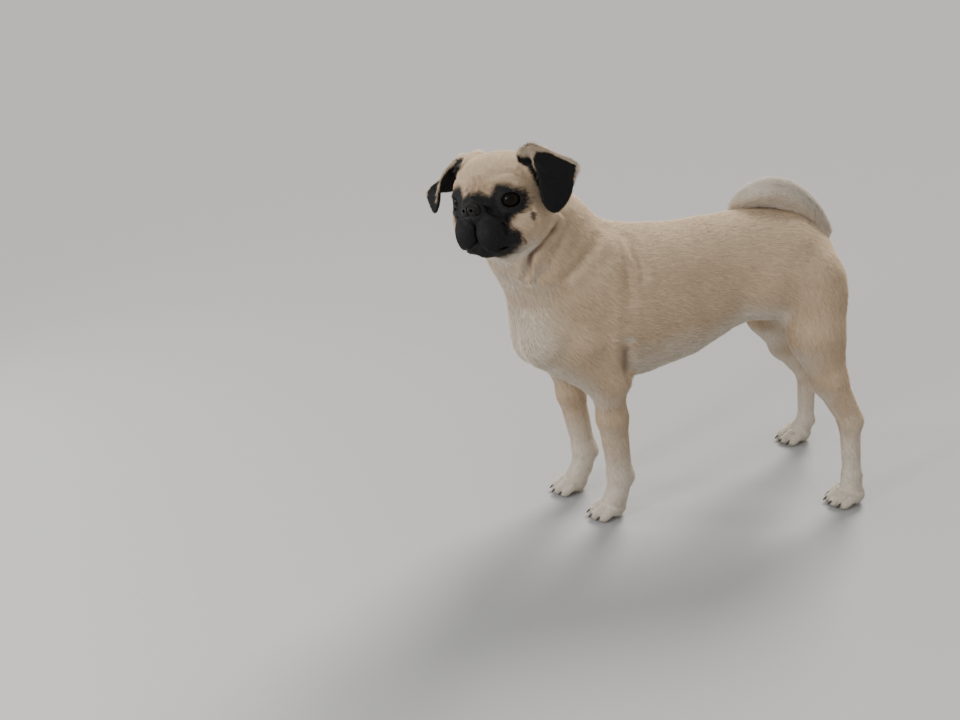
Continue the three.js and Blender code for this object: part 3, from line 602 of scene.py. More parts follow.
def with_mouth(d, local):
    f, l, u = local.T
    near = (f > MOUTH_FRONT) & (np.abs(d) < 6) & (np.abs(l) < MOUTH_HALF_WIDTH)
    fade = 1 - (l[near] / MOUTH_HALF_WIDTH) ** 4
    sheet = u[near] - mouth_height(l[near])
    d[near] = groove(d[near], sheet, SLIT_HALF_HEIGHT, MOUTH_DEPTH * fade)
    cleft = near & (f > CLEFT_FRONT) & (u < CLEFT_TOP) & (u > MOUTH_MIDDLE)
    d[cleft] = groove(d[cleft], l[cleft], CLEFT_HALF_WIDTH, LIP_CLEFT_DEPTH)
    return d


print("heights of the mouth:", mouth_height(np.array([0, MOUTH_HALF_WIDTH])).round(1), "mm")

# %% Folds
# Each fold is a path with a width and a depth. Those of the head are in its own directions,
# and all but the one at the stop are mirrored.
HEAD_FOLDS = [
    ([(41, 0, 3), (40, 9, 0), (38, 16, -7), (36, 22, -15), (34, 27, -22)], 2.2, 2.4),
    ([(37, 6, 15), (33, 13, 11), (30, 19, 5), (29, 24, -5), (29, 29, -13)], 1.8, 1.0),
    ([(30, 28, -11), (31, 30, -17), (30, 33, -22), (27, 36, -27), (25, 37, -33)], 2.6, 1.5),
    ([(36, 12, 18), (32, 23, 20), (29, 29, 20), (25, 34, 17)], 1.5, 0.9),
    ([(36, 4, 22), (32, 14, 27), (25, 24, 28), (17, 32, 25)], 2.4, 0.8),
    ([(16, 44, -9), (14, 46, -18), (13, 45, -26), (13, 42, -33)], 2.0, 0.5),
    ([(26, 32, -8), (22, 38, -9), (16, 43, -7)], 1.8, 0.7),
]
STOP_FOLD = ([(37, 1, 24), (39, 1, 18), (41, 1, 11)], 1.8, 1.6)

# Folds of the neck, shoulder and chest are in the dog's own directions
BODY_FOLDS = [
    ([(-160, -64, 350), (-171, -63, 337), (-180, -67, 330), (-189, -66, 320), (-195, -62, 313),
      (-198, -58, 302), (-200, -53, 290)], 3.0, 4.4),
    ([(-150, -50, 345), (-158, -56, 336), (-168, -62, 322), (-177, -62, 306),
      (-186, -58, 290)], 4.5, 1.6),
    ([(-126, -44, 320), (-133, -51, 313), (-143, -57, 305), (-152, -60, 297),
      (-161, -61, 288)], 5, 1.8),
    ([(-96, -30, 312), (-95, -42, 304), (-90, -51, 291), (-88, -58, 276)], 5, 1.6),
    ([(-112, -42, 306), (-108, -52, 292), (-104, -60, 276), (-104, -64, 258)], 6, 1.2),
    ([(-108, -68, 214), (-108, -64, 200), (-105, -60, 186), (-101, -54, 176)], 6, 3.4),
    ([(-138, 68, 210), (-136, 62, 196), (-132, 56, 184), (-129, 50, 172)], 6, 3.4),
    ([(-96, 32, 312), (-95, 44, 304), (-90, 53, 291), (-88, 60, 276)], 5, 1.4),
]
FOLD_SWELL, FOLD_SIGHT = 0.4, 12


def crease(points, path, width, depth):
    t = nearest_on_path(points, path)[0] / width
    return depth * (np.exp(-t**2) - FOLD_SWELL * np.exp(-((t - 2) ** 2) / 0.9))


def with_folds(d, points, folds):
    for path, width, depth in folds:
        low, high = path.min(0) - 4 * width, path.max(0) + 4 * width
        near = ((points > low) & (points < high)).all(1) & (np.abs(d) < FOLD_SIGHT)
        if near.any():
            d[near] += crease(points[near], path, width, depth)
    return d


def fold_curves(folds, sides=(1,)):
    return [(mirrored_curve(path, side, 3), *size) for path, *size in folds for side in sides]


head_folds = fold_curves([STOP_FOLD]) + fold_curves(HEAD_FOLDS, SIDES.values())
body_folds = fold_curves(BODY_FOLDS)
print("folds:", len(head_folds), "on the head,", len(body_folds), "on the body")

# %% [markdown]
# ## The skin's depth
# The solids end where the coat ends. The skin lies deeper by the coat's depth: one and a half
# millimetres on the body and about half a millimetre on the face, the ears and the tail. The
# soles are cut flat at the floor.

# %% The whole flesh, and the skin inside it
BODY_DEPTH, TAIL_DEPTH, FACE_DEPTH, EAR_DEPTH = 1.5, 0.6, 0.7, 0.5
SOLE_HEIGHT = 0.25
TAIL_MIDDLE, TAIL_REACH = np.array([80.0, 10.0, 300.0]), 90.0
NECK_FADE = (60, 100)  # the depth changes over this distance from the middle of the head


def head_flesh(points):
    local = to_head(points)
    d = join(HEAD, local)
    for s in SIDES.values():
        d = with_lids(d, local, s)
    d = with_folds(with_mouth(d, local), local, head_folds)
    for name in EARS:
        d = smooth_min(d, ear_distance(local, name) - FACE_DEPTH + EAR_DEPTH, EAR_BLEND)
    return d


def skin_distance(points):
    d = join(BODY, points)
    near = lengths(points - TAIL_MIDDLE) < TAIL_REACH
    if near.any():
        tail = tail_distance(points[near])[0] - BODY_DEPTH + TAIL_DEPTH
        d[near] = smooth_min(d[near], tail, TAIL_BLEND)
    far = lengths(points - HEAD_CENTRE)
    near = far < HEAD_REACH
    if near.any():
        d[near] = smooth_min(d[near], head_flesh(points[near]), NECK_BLEND)
    d = with_folds(d, points, body_folds)
    d += FACE_DEPTH + (BODY_DEPTH - FACE_DEPTH) * smooth_step(*NECK_FADE, far)
    return np.maximum(d, SOLE_HEIGHT - points[:, 2])


print("the middle of the head lies", -skin_distance(HEAD_CENTRE[None]).round(1)[0], "mm deep")

# %% [markdown]
# ## From a distance to a mesh
# A net of quads is laid over the surface. We look at the distance at the corners of a grid:
# a cell with corners on both sides gets one point, and points of neighbouring cells are
# joined. Then the points slide back onto the true surface and spread out evenly. A coarse
# look first tells which blocks of the grid need a fine one.

# %% Net of quads over a distance
BLOCK = 4
BLOCK_MARGIN = 1.5
CELL_CORNERS = np.array([(i, j, k) for k in (0, 1) for j in (0, 1) for i in (0, 1)])
CELL_EDGES = [(a, b) for a in range(8) for b in range(a + 1, 8) if bin(a ^ b).count("1") == 1]


def sampled(field, low, counts, step):
    """The field at every corner of the grid, worked out finely only near the surface."""
    coarse = [np.arange(0, n, BLOCK) for n in counts]
    centres = np.stack(np.meshgrid(*coarse, indexing="ij"), -1).reshape(-1, 3) + BLOCK / 2
    rough = field(low + centres * step).reshape([len(c) for c in coarse])
    for axis in range(3):
        rough = rough.repeat(BLOCK, axis)
    values = rough[tuple(slice(0, n) for n in counts)].copy()
    fine = np.argwhere(np.abs(values) < BLOCK * step * BLOCK_MARGIN)
    values[tuple(fine.T)] = field(low + fine * step)
    return values


def net(field, low, high, step):
    low = np.array(low, float)
    counts = [math.ceil((h - l) / step) + 1 for l, h in zip(low, high)]
    values = sampled(field, low, counts, step)
    inside = values < 0
    cells = [slice(0, n - 1) for n in counts]
    corners = [[slice(c, n - 1 + c) for c, n in zip(corner, counts)] for corner in CELL_CORNERS]
    full = np.logical_and.reduce([inside[tuple(c)] for c in corners])
    some = np.logical_or.reduce([inside[tuple(c)] for c in corners])
    mixed = np.argwhere(some & ~full)
    number = np.full([s.stop for s in cells], -1)
    number[tuple(mixed.T)] = np.arange(len(mixed))
    near = np.stack([values[tuple((mixed + c).T)] for c in CELL_CORNERS], 1)
    total, count = np.zeros((len(mixed), 3)), np.zeros(len(mixed))
    for a, b in CELL_EDGES:
        cross = (near[:, a] < 0) != (near[:, b] < 0)
        share = (near[cross, a] / (near[cross, a] - near[cross, b]))[:, None]
        total[cross] += CELL_CORNERS[a] + share * (CELL_CORNERS[b] - CELL_CORNERS[a])
        count[cross] += 1
    points = low + (mixed + total / count[:, None]) * step
    return points, net_quads(inside, number)


def net_quads(inside, number):
    quads = []
    for axis in range(3):
        b, c = (axis + 1) % 3, (axis + 2) % 3
        ahead = np.roll(inside, -1, axis)
        edges = inside != ahead
        for side_axis in range(3):
            cut = [slice(None)] * 3
            cut[side_axis] = -1
            edges[tuple(cut)] = False
            if side_axis != axis:
                cut[side_axis] = 0
                edges[tuple(cut)] = False
        at = np.argwhere(edges)
        step_b, step_c = np.eye(3, dtype=int)[b], np.eye(3, dtype=int)[c]
        ring = [at - step_b - step_c, at - step_c, at, at - step_b]
        quad = np.stack([number[tuple(r.T)] for r in ring], 1)
        outward = inside[tuple(at.T)]
        quads.append(np.where(outward[:, None], quad, quad[:, ::-1]))
    return np.vstack(quads)


def ball(points):
    return lengths(points) - 5


ball_net = net(ball, (-7, -7, -7), (7, 7, 7), 1.0)
print("a ball of 5 mm in steps of 1 mm:", len(ball_net[0]), "points,", len(ball_net[1]), "quads")

# %% Slide points onto the surface and spread them
PROBES = np.array([(1, -1, -1), (-1, -1, 1), (-1, 1, -1), (1, 1, 1)], float)


def slope(field, points, reach):
    """The field's steepest direction at each point."""
    g = sum(probe * field(points + probe * reach)[:, None] for probe in PROBES)
    return g / (4 * reach)


def settled(field, points, step, passes=2):
    for _ in range(passes):
        g = slope(field, points, step * 0.15)
        move = (field(points) / np.maximum((g * g).sum(1), 0.2))[:, None] * g
        limit = step * 0.5 / np.maximum(lengths(move), 1e-9)
        points = points - move * np.minimum(1, limit)[:, None]
    return points


def neighbour_sum(values, edges):
    """For every point: the values of its neighbours, added up."""
    total = np.zeros_like(values)
    for axis in range(values.shape[1]):
        for here, there in (edges.T, edges.T[::-1]):
            total[:, axis] += np.bincount(here, values[there, axis], len(values))
    return total


def spread(field, points, quads, step, rounds=2):
    edges = np.vstack([quads[:, [i, (i + 1) % 4]] for i in range(4)])
    count = np.maximum(np.bincount(edges.ravel(), minlength=len(points)), 1)[:, None]
    for _ in range(rounds):
        pull = neighbour_sum(points, edges) / count - points
        n = normed(slope(field, points, step * 0.3))
        pull -= (pull * n).sum(1)[:, None] * n
        points = settled(field, points + pull * 0.5, step, 1)
    return points


off = np.abs(ball(spread(ball, *ball_net, 1.0))).max()
print("after spreading, the ball's points are off by at most", off.round(4), "mm")

# %% [markdown]
# ## One skin
# The head and the paws need a finer net than the body. We make them apart, trim both sides
# at a plane and bridge the two rims, so the skin is still one closed surface.

# %% Nets of the body, the head and the paws
HEAD_STEP, BODY_STEP, PAW_STEP = 1.3, 2.7, 1.5
HEAD_BOX = ((-302, -138, 280), (-120, 60, 426))
BODY_BOX = ((-260, -104, -3), (174, 108, 386))
NECK_PLANE = (from_head((-32, 0, -34)), unit(0.66 * HEAD_AXES[0] + 0.75 * HEAD_AXES[2]))
PAW_TOP = 42.0
PAW_LOW, PAW_HIGH = (-42, -30), (34, 30)  # the box of a paw's net, from the paw's place
RIM_GAP = 0.8
print("steps of the nets:", HEAD_STEP, BODY_STEP, PAW_STEP, "mm")


# %% Cut and joined nets
def new_mesh(name, points, faces, smooth=True):
    mesh = bpy.data.meshes.new(name)
    mesh.from_pydata(np.asarray(points).tolist(), [], faces)
    mesh.polygons.foreach_set("use_smooth", np.full(len(faces), smooth))
    return mesh


def mesh_net(points, quads):
    """A bmesh of the net, without loose points."""
    used = np.unique(quads)
    number = np.full(len(points), -1)
    number[used] = np.arange(len(used))
    mesh = new_mesh("net", points[used], number[quads].tolist(), smooth=False)
    work = bmesh.new()
    work.from_mesh(mesh)
    bpy.data.meshes.remove(mesh)
    return work


def trimmed(work, point, normal):
    """Drops what lies behind the plane."""
    everything = work.verts[:] + work.edges[:] + work.faces[:]
    bmesh.ops.bisect_plane(
        work, geom=everything, plane_co=point, plane_no=normal, clear_inner=True, dist=0.02
    )
    return work


def largest_part(work):
    """Keeps the largest connected part of a mesh."""
    work.verts.ensure_lookup_table()
    seen = np.zeros(len(work.verts), bool)
    work.verts.index_update()
    best = []
    for start in work.verts:
        if seen[start.index]:
            continue
        seen[start.index] = True
        group, queue = [start], [start]
        while queue:
            for edge in queue.pop().link_edges:
                for vert in edge.verts:
                    if not seen[vert.index]:
                        seen[vert.index] = True
                        group.append(vert)
                        queue.append(vert)
        if len(group) > len(best):
            best = group
    keep = set(best)
    bmesh.ops.delete(work, geom=[v for v in work.verts if v not in keep], context="VERTS")
    return work


def added(work, other):
    mesh = bpy.data.meshes.new("joined")
    other.to_mesh(mesh)
    other.free()
    work.from_mesh(mesh)
    bpy.data.meshes.remove(mesh)


def bridged(work, near):
    rim = [e for e in work.edges if e.is_boundary and all(near(v.co) for v in e.verts)]
    bmesh.ops.bridge_loops(work, edges=rim)


half_ball = trimmed(mesh_net(*ball_net), (0, 0, 0), (0, 0, 1))
print("half a ball:", len(half_ball.faces), "faces")
half_ball.free()


# %% The skin's net
def body_net():
    point, normal = NECK_PLANE
    points, quads = net(skin_distance, *BODY_BOX, BODY_STEP)
    points = spread(skin_distance, points, quads, BODY_STEP)
    work = largest_part(mesh_net(points, quads))
    trimmed(work, point - normal * RIM_GAP, -normal)
    return trimmed(work, (0, 0, PAW_TOP + RIM_GAP), (0, 0, 1))


def head_net():
    point, normal = NECK_PLANE
    points, quads = net(skin_distance, *HEAD_BOX, HEAD_STEP)
    points = spread(skin_distance, points, quads, HEAD_STEP)
    return largest_part(trimmed(mesh_net(points, quads), point + normal * RIM_GAP, normal))


def paw_net(paw):
    low, high = np.add(paw, PAW_LOW), np.add(paw, PAW_HIGH)
    points, quads = net(skin_distance, (*low, -2), (*high, PAW_TOP + 8), PAW_STEP)
    points = spread(skin_distance, points, quads, PAW_STEP)
    return largest_part(trimmed(mesh_net(points, quads), (0, 0, PAW_TOP), (0, 0, -1)))


def skin_net():
    work = body_net()
    added(work, head_net())
    bridged(work, lambda co: co.z > 150)
    for *_, paw in [*FORELEG.values(), *HINDLEG.values()]:
        added(work, paw_net(paw))
        bridged(work, lambda co: (co.xy - Vector(paw)).length < 45 and co.z < 60)
    return work


skin_work = skin_net()
open_edges = sum(edge.is_boundary for edge in skin_work.edges)
print("skin:", len(skin_work.verts), "points,", open_edges, "open edges")

# %% [markdown]
# ## What each point of the skin knows
# The coat and its markings follow the body, so the skin carries them point by point: which
# way the hair lies, how long it is, how dense, and how far a point is inside the mask. The
# tufts take over the values of the spot they grow from, so skin and coat always agree.

# %% Points and directions of the skin
skin_work.verts.ensure_lookup_table()
skin_points = np.array([v.co for v in skin_work.verts])
skin_points = settled(skin_distance, skin_points, PAW_STEP, 2)
skin_normals = normed(slope(skin_distance, skin_points, 0.4))
skin_local = to_head(skin_points)
off = np.abs(skin_distance(skin_points)).max()
print("the skin's points are off its surface by at most", off.round(3), "mm")

# %% Which way the hair lies, and how long it is
LIE_SOFTNESS = 7.0
NOSE_TIP = np.array([50.0, 0.0, 2.0])
EAR_ROOT = np.array([4.0, 36.0, 54.0])
HAIR = {"torso": 7.0, "neck": 7.0, "foreleg": 5.0, "hindleg": 5.5, "paw": 3.6}
FACE_HAIR, CHEEK_HAIR, EAR_HAIR, TAIL_HAIR = 2.4, 3.8, 2.8, 7.0
FORM_SIGHT, HEAD_SIZE = 40, 110
TAIL_SOFTNESS, TAIL_PULL, EAR_SOFTNESS, EAR_PULL = 2.0, 3, 1.5, 4


def near_form(form):
    """Which points of the skin are near enough to a form to be told about it."""
    return lengths(skin_points - form.centre) < form.reach + FORM_SIGHT


def closeness(d, softness=LIE_SOFTNESS):
    return np.exp(-np.clip(d, -12, 80) / softness)


def coat_lie():
    """The direction of the hair and its length in millimetres, at every point of the skin."""
    lie = np.zeros_like(skin_points)
    length, total = np.zeros(len(lie)), np.zeros(len(lie))

    def pulled(weight, direction, hair):
        nonlocal lie, length, total
        lie += weight[:, None] * direction
        length += weight * hair
        total += weight

    for form in BODY:
        weight, near = np.zeros(len(lie)), near_form(form)
        weight[near] = closeness(form.distance(skin_points[near]))
        pulled(weight, form.lie, HAIR[form.group.split("_")[0]])
    d, along = tail_distance(skin_points)
    ahead = TAIL_CURVE[1:] - TAIL_CURVE[:-1]
    steps = np.minimum((along * len(ahead)).astype(int), len(ahead) - 1)
    pulled(closeness(d, TAIL_SOFTNESS) * TAIL_PULL, normed(ahead[steps]), TAIL_HAIR)
    away = skin_local - NOSE_TIP
    back = smooth_step(10, 75, lengths(away))
    head_weight = closeness(join(HEAD, skin_local)) * (lengths(skin_local) < HEAD_SIZE)
    face_hair = FACE_HAIR + (CHEEK_HAIR - FACE_HAIR) * back
    pulled(head_weight, normed(away, 1) @ HEAD_AXES, face_hair)
    for name, side in SIDES.items():
        outward = normed(skin_local - mirrored(EAR_ROOT, side), 1) @ HEAD_AXES
        near_ear = closeness(ear_distance(skin_local, name), EAR_SOFTNESS)
        pulled(near_ear * EAR_PULL, outward, EAR_HAIR)
    return lie, length / np.maximum(total, 1e-9)


def flattened(vectors):
    """Vectors laid into the skin and made one long."""
    return normed(vectors - (vectors * skin_normals).sum(1)[:, None] * skin_normals)


def smoothed(values, edges, rounds):
    count = np.bincount(edges.ravel(), minlength=len(values))[:, None] + 1.0
    for _ in range(rounds):
        values = (values + neighbour_sum(values, edges)) / count
    return values


skin_edges = np.array([[v.index for v in e.verts] for e in skin_work.edges])
hair_lie, hair_length = coat_lie()
hair_lie = flattened(smoothed(flattened(hair_lie), skin_edges, 6))
print("hair from", hair_length.min().round(1), "to", hair_length.max().round(1), "mm long")

# %% [markdown]
# ## Markings
# The mask is drawn as an outline on the front of the face, given by its places to one side
# and its heights, and mirrored. The ears are black but for the fuzz along their crest and thin
# lines of painted rim light along the edges of their flaps; the skull under a flap is darkened
# as painted shade. Legs, chest, belly and tail are paler than the back, the top of the tail
# still paler as painted light, and the bottom of a deep fold is darkened as painted shade.

# %% Markings
MASK_HALF = [  # to the side, up
    (0, 11.5), (5, 12.5), (10, 10), (14, 8), (15.8, 9.5), (16.5, 13), (19, 17.3), (23.4, 18),
    (28.5, 16.6), (32.1, 14.4), (35.5, 12.3), (38.5, 10.3), (40.4, 7), (41.4, 2.7), (41.6, -1.4),
    (40.3, -5.2), (37, -7.4), (33.2, -9.6), (29.3, -11.3), (27.8, -15.3), (29.1, -20.3),
    (33.8, -23.7), (35.5, -28.4), (34.4, -32.8), (30.2, -38.5), (21.2, -44), (12, -50), (0, -56),
]
MASK_BACK = 14.0
MASK_RANGE = 12.0


def outline_distance(points, outline):
    """Signed distance to a closed outline in a plane, above zero inside."""
    best = np.full(len(points), 1e9)
    inside = np.zeros(len(points), bool)
    for a, b in zip(outline, np.roll(outline, -1, 0)):
        edge, p = b - a, points - a
        t = np.clip(p @ edge / (edge @ edge), 0, 1)
        best = np.minimum(best, lengths(p - t[:, None] * edge))
        crosses = (a[1] > points[:, 1]) != (b[1] > points[:, 1])
        rise = edge[1] if edge[1] else 1e-9
        inside ^= crosses & (points[:, 0] < a[0] + (points[:, 1] - a[1]) * edge[0] / rise)
    return np.where(inside, best, -best)


def mask_distance():
    half = np.array(MASK_HALF, float)
    outline = np.vstack([half, half[-2:0:-1] * (-1, 1)])
    front = outline_distance(skin_local[:, 1:], outline)
    under = (skin_local[:, 0] - MASK_BACK) * 0.8
    return np.clip(np.minimum(front, under), -MASK_RANGE, MASK_RANGE)


mask = mask_distance()
print("share of the skin in the mask:", (mask > 0).mean().round(3))

# %% Black ears, with painted rim light and painted shade
CREST_SHARE = 0.45  # the fuzz has narrowed by this share of the path
# The first two paths of each ear run along its crest, where the hair is cream fuzz; the others run
# along the edges of the flap, where a thin light line is painted rim light
EAR_CRESTS_AND_LIT_RIMS = {  # each path with the width of the fuzz at its start and its end
    "left": [
        ([(12, 38, 46), (9, 46, 48), (1, 56, 43), (-7, 65, 35.5), (-17, 75, 27)], 9.0, 2.0),
        ([(11, 45, 49), (6, 50.5, 47), (-2.5, 59, 41), (-8, 67, 35.5), (-14, 73.5, 30),
          (-17, 76, 25)], 8.0, 2.2),
        ([(9, 44, 48), (12, 47, 42), (14, 49, 36), (14.5, 51, 30), (14.5, 53, 20)], 8.0, 1.0),
        ([(-17, 75, 26), (-14, 71, 13), (-10, 69, 2), (-2, 65, -7), (7, 61, -10)], 2.4, 1.2),
    ],
    "right": [
        ([(-24, 33, 45), (-14, 36, 47), (-6, 41, 45), (0, 48, 41), (0, 63, 27),
          (5, 80, 15)], 9.0, 2.0),
        ([(-9, 45, 43), (0, 63, 26.5), (5, 80, 15)], 7.0, 2.0),
        ([(0, 46, 41), (8, 50, 36), (13, 55, 27), (16, 59, 16), (17, 61, 6)], 2.4, 0.8),
        ([(5, 80, 15), (7, 78, 4), (12, 70, -3.5)], 2.4, 1.2),
    ],
}


def ear_black():
    """How dark the ears are, save the fuzzy crest and thin lines of painted rim light on the flaps,
    and how fuzzy.
    """
    black_and_shade, rim, crests_and_lit_rims = np.zeros((3, len(skin_points)))
    flesh = join(HEAD, skin_local)
    for name, side in SIDES.items():
        d = ear_distance(skin_local, name)
        on_ear = smooth_step(2.0, 0.0, d) * smooth_step(-1, 3, flesh)
        crest_and_rim_share = np.zeros(len(skin_points))
        for places, wide, narrow in EAR_CRESTS_AND_LIT_RIMS[name]:
            far, along = nearest_on_path(skin_local, mirrored_curve(places, side, 4))
            width = wide + (narrow - wide) * smooth_step(0, CREST_SHARE, along)
            crest_and_rim_share = np.maximum(crest_and_rim_share, smooth_step(width, width * 0.4, far))
        crests_and_lit_rims = np.maximum(crests_and_lit_rims, crest_and_rim_share)
        black_and_shade = np.maximum(black_and_shade, on_ear * (1 - crest_and_rim_share))
        rim = np.maximum(rim, smooth_step(3.0, 0.5, d) * crest_and_rim_share**3)
    rim = np.maximum(rim, 0.3 * smooth_step(1.0, 0.0, tail_distance(skin_points)[0]))
    # The skull under a flap is darkened as painted shade, but not along the crest
    return np.maximum(black_and_shade, painted_flap_shade() * (1 - crests_and_lit_rims)), rim


def painted_flap_shade():
    """Painted shade: the skull under a flap, where the flap's shadow falls, is darkened like the
    ear.
    """
    f, l, u = skin_local.T
    front = 10.5 - (33 - u) * 0.27
    flap_shade = smooth_step(front + 1.5, front - 1.5, f) * smooth_step(33, 37, np.abs(l))
    flap_shade *= smooth_step(4, 9, u) * smooth_step(-14, -9, f) * smooth_step(46, 40, u)
    beside = np.minimum(ear_distance(skin_local, "left"), ear_distance(skin_local, "right"))
    return flap_shade * smooth_step(18, 12, beside)


black_and_shade, fuzz = ear_black()
print("share of the skin that is black besides the mask:", (black_and_shade > 0.5).mean().round(3))

# %% Pale and bare places, with painted light on the tail
NOSE_MIDDLE, NOSE_SQUASH = np.array([47.0, 0.0, -1.0]), np.array([1.0, 0.85, 1.05])
LEG_PALE, BELLY_PALE, CHEST_PALE = 0.85, 0.7, 0.6
LID_BARE, NOSE_BARE, MOUTH_BARE = (1.26, 1.1), (9.8, 8.8), (2.2, 1.2)  # from hair to bare


def paleness_and_lit_tail():
    """Legs, belly, chest and tail are paler; the top of the tail is paler still as painted light.
    """
    x, _, z = skin_points.T
    legs = smooth_step(150, 30, z) * LEG_PALE
    below = smooth_step(0.1, -0.7, skin_normals[:, 2]) * BELLY_PALE
    chest = smooth_step(-150, -195, x) * smooth_step(300, 230, z) * CHEST_PALE
    tail = smooth_step(3, 0, tail_distance(skin_points)[0])
    # Painted light: the tail is paler where it faces up
    tail *= 0.45 + 0.55 * smooth_step(-0.2, 0.6, skin_normals[:, 2])
    return np.clip(np.maximum.reduce([legs, below, chest, tail]), 0, 1)


def bareness():
    """Lids, the slit of the mouth, the rim of the nose and the soles have no hair."""
    bare = smooth_step(1.6, 0.6, skin_points[:, 2])
    for side in SIDES.values():
        depth, across, above, far = in_eye(skin_local, side)
        oval = lid_oval(across, above, side)
        lid = smooth_step(*LID_BARE, oval) * (depth > 0) * (far < 18)
        bare = np.maximum(bare, lid)
    from_nose = lengths((skin_local - NOSE_MIDDLE) * NOSE_SQUASH)
    bare = np.maximum(bare, smooth_step(*NOSE_BARE, from_nose))
    f, l, u = skin_local.T
    slit = np.abs(u - mouth_height(l))
    inside = join(HEAD, skin_local) + FACE_DEPTH
    at_mouth = (f > MOUTH_FRONT) & (np.abs(l) < MOUTH_HALF_WIDTH) & (inside < -0.6)
    return np.maximum(bare, smooth_step(*MOUTH_BARE, slit) * at_mouth)


pale_and_lit, bare = paleness_and_lit_tail(), bareness()
print("share of the skin that is pale:", pale_and_lit.mean().round(3), "bare:", bare.mean().round(3))

# %% Painted shade in folds, the mole and the cheek crease
MOLE = np.array([17.0, 45.0, -12.4])
MOLE_RADII = np.array([3.7, 3.7, 5.0])
# A faint line of painted shade runs down the cheek crease below the mole
CHEEK_LINE = [(14.6, 46, -19), (13.6, 45.6, -23), (12.6, 45, -27)]
# The bottom of a fold is darkened as painted shade, the deepest folds most
DEEP_FOLD = 4.4  # a fold this deep is as dark as folds get, in millimetres
FOLD_SHADE_WIDTH, FOLD_PART_WIDTH = 0.42, 1.6  # times the fold's own width
FOLD_HAIR = 0.6  # where a deep fold parts the hair, it is shorter by this share


def beside_path(points, normals, path):
    """How far points are from a path: along the skin and straight. Also a fade at its ends."""
    straight, along = nearest_on_path(points, path)
    place = along * (len(path) - 1)
    start = np.minimum(place.astype(int), len(path) - 2)
    nearest = path[start] + (place - start)[:, None] * (path[start + 1] - path[start])
    away = points - nearest
    away -= (away * normals).sum(1)[:, None] * normals
    return lengths(away), straight, smooth_step(0, 0.2, along) * smooth_step(1, 0.75, along)


def fold_shade(spread_share):
    """How near a point is to the bottom of a fold, more so for the deep ones; it sets the painted
    shade of folds.
    """
    shade = np.zeros(len(skin_points))
    head_normals = skin_normals @ HEAD_AXES.T
    for points, normals, folds in (
        (skin_local, head_normals, head_folds), (skin_points, skin_normals, body_folds)
    ):
        for path, width, depth in folds:
            near = np.abs(points - path.mean(0)).max(1) < 80
            far, straight, fade = beside_path(points[near], normals[near], path)
            strength = min(1.0, (depth / DEEP_FOLD) ** 1.2) * (straight < 2 * width + 2 * depth)
            value = strength * fade * np.exp(-((far / width / spread_share) ** 2))
            shade[near] = np.maximum(shade[near], value)
    return shade


mole_and_crease_shade = smooth_step(1.15, 0.35, lengths((skin_local - MOLE) / MOLE_RADII))
cheek_line = nearest_on_path(skin_local, smooth_curve(CHEEK_LINE))[0]
# Painted shade along the cheek crease
mole_and_crease_shade = np.maximum(mole_and_crease_shade, 0.3 * smooth_step(1.8, 0.4, cheek_line))
# Painted shade at the bottom of folds
painted_fold_shade = fold_shade(FOLD_SHADE_WIDTH)
hair_length *= 1 - FOLD_HAIR * fold_shade(FOLD_PART_WIDTH)
print("share of the skin in a fold:", painted_fold_shade.mean().round(3), "in the mole:", mole_and_crease_shade.mean().round(4))

# %% [markdown]
# ## Parts of the coat
# The coat is split into pieces that a person would name, each small enough to handle. A
# point belongs to the form it is nearest to, and the long torso is split along its length.

# %% Regions of the coat
REGIONS = [
    "muzzle", "face", "skull", "ear_left", "ear_right", "neck", "shoulders", "chest", "ribs",
    "loin", "rump", "tail", "foreleg_left", "foreleg_right", "hindleg_left", "hindleg_right",
    "paws",
]
TORSO_CUTS = ((-62, "shoulders"), (12, "ribs"), (66, "loin"))
CHEST_BACK, CHEST_TOP = -118, 270
SKULL_LOW, SKULL_FRONT, MUZZLE_BACK, MUZZLE_TOP = 22, -6, 24, 8
TAIL_LEAD, HEAD_LEAD, EAR_LEAD = 2, 1, 1.5  # millimetres by which these win over neighbours


def coat_regions():
    best = np.full(len(skin_points), 1e9)
    region = np.zeros(len(skin_points), int)

    def claim(d, name):
        closer = d < best
        best[closer] = d[closer]
        region[closer] = REGIONS.index(name)

    for form in BODY:
        d, near = np.full(len(best), 1e9), near_form(form)
        d[near] = form.distance(skin_points[near])
        claim(d, {"torso": "rump", "paw": "paws"}.get(form.group.split("_")[0], form.group))
    x, _, z = skin_points.T
    torso = region == REGIONS.index("rump")
    for cut, name in reversed(TORSO_CUTS):
        region[torso & (x < cut)] = REGIONS.index(name)
    region[torso & (x < CHEST_BACK) & (z < CHEST_TOP)] = REGIONS.index("chest")
    claim(tail_distance(skin_points)[0] - TAIL_LEAD, "tail")
    f, _, u = skin_local.T
    d = join(HEAD, skin_local) - HEAD_LEAD
    claim(np.where(lengths(skin_local) < HEAD_SIZE, d, 1e9), "face")
    face = region == REGIONS.index("face")
    region[face & ((u > SKULL_LOW) | (f < SKULL_FRONT))] = REGIONS.index("skull")
    region[face & (f > MUZZLE_BACK) & (u < MUZZLE_TOP)] = REGIONS.index("muzzle")
    for name in EARS:
        claim(ear_distance(skin_local, name) - EAR_LEAD, "ear_" + name)
    return region


region = coat_regions()
print({name: int((region == i).sum()) for i, name in enumerate(REGIONS)})

# %% [markdown]
# ## Sums of nodes
# Nodes are easier to read as sums than as a web. A `Term` is an output that can be added,
# multiplied or compared, and makes the nodes behind it. A `Shader` is a material made so.

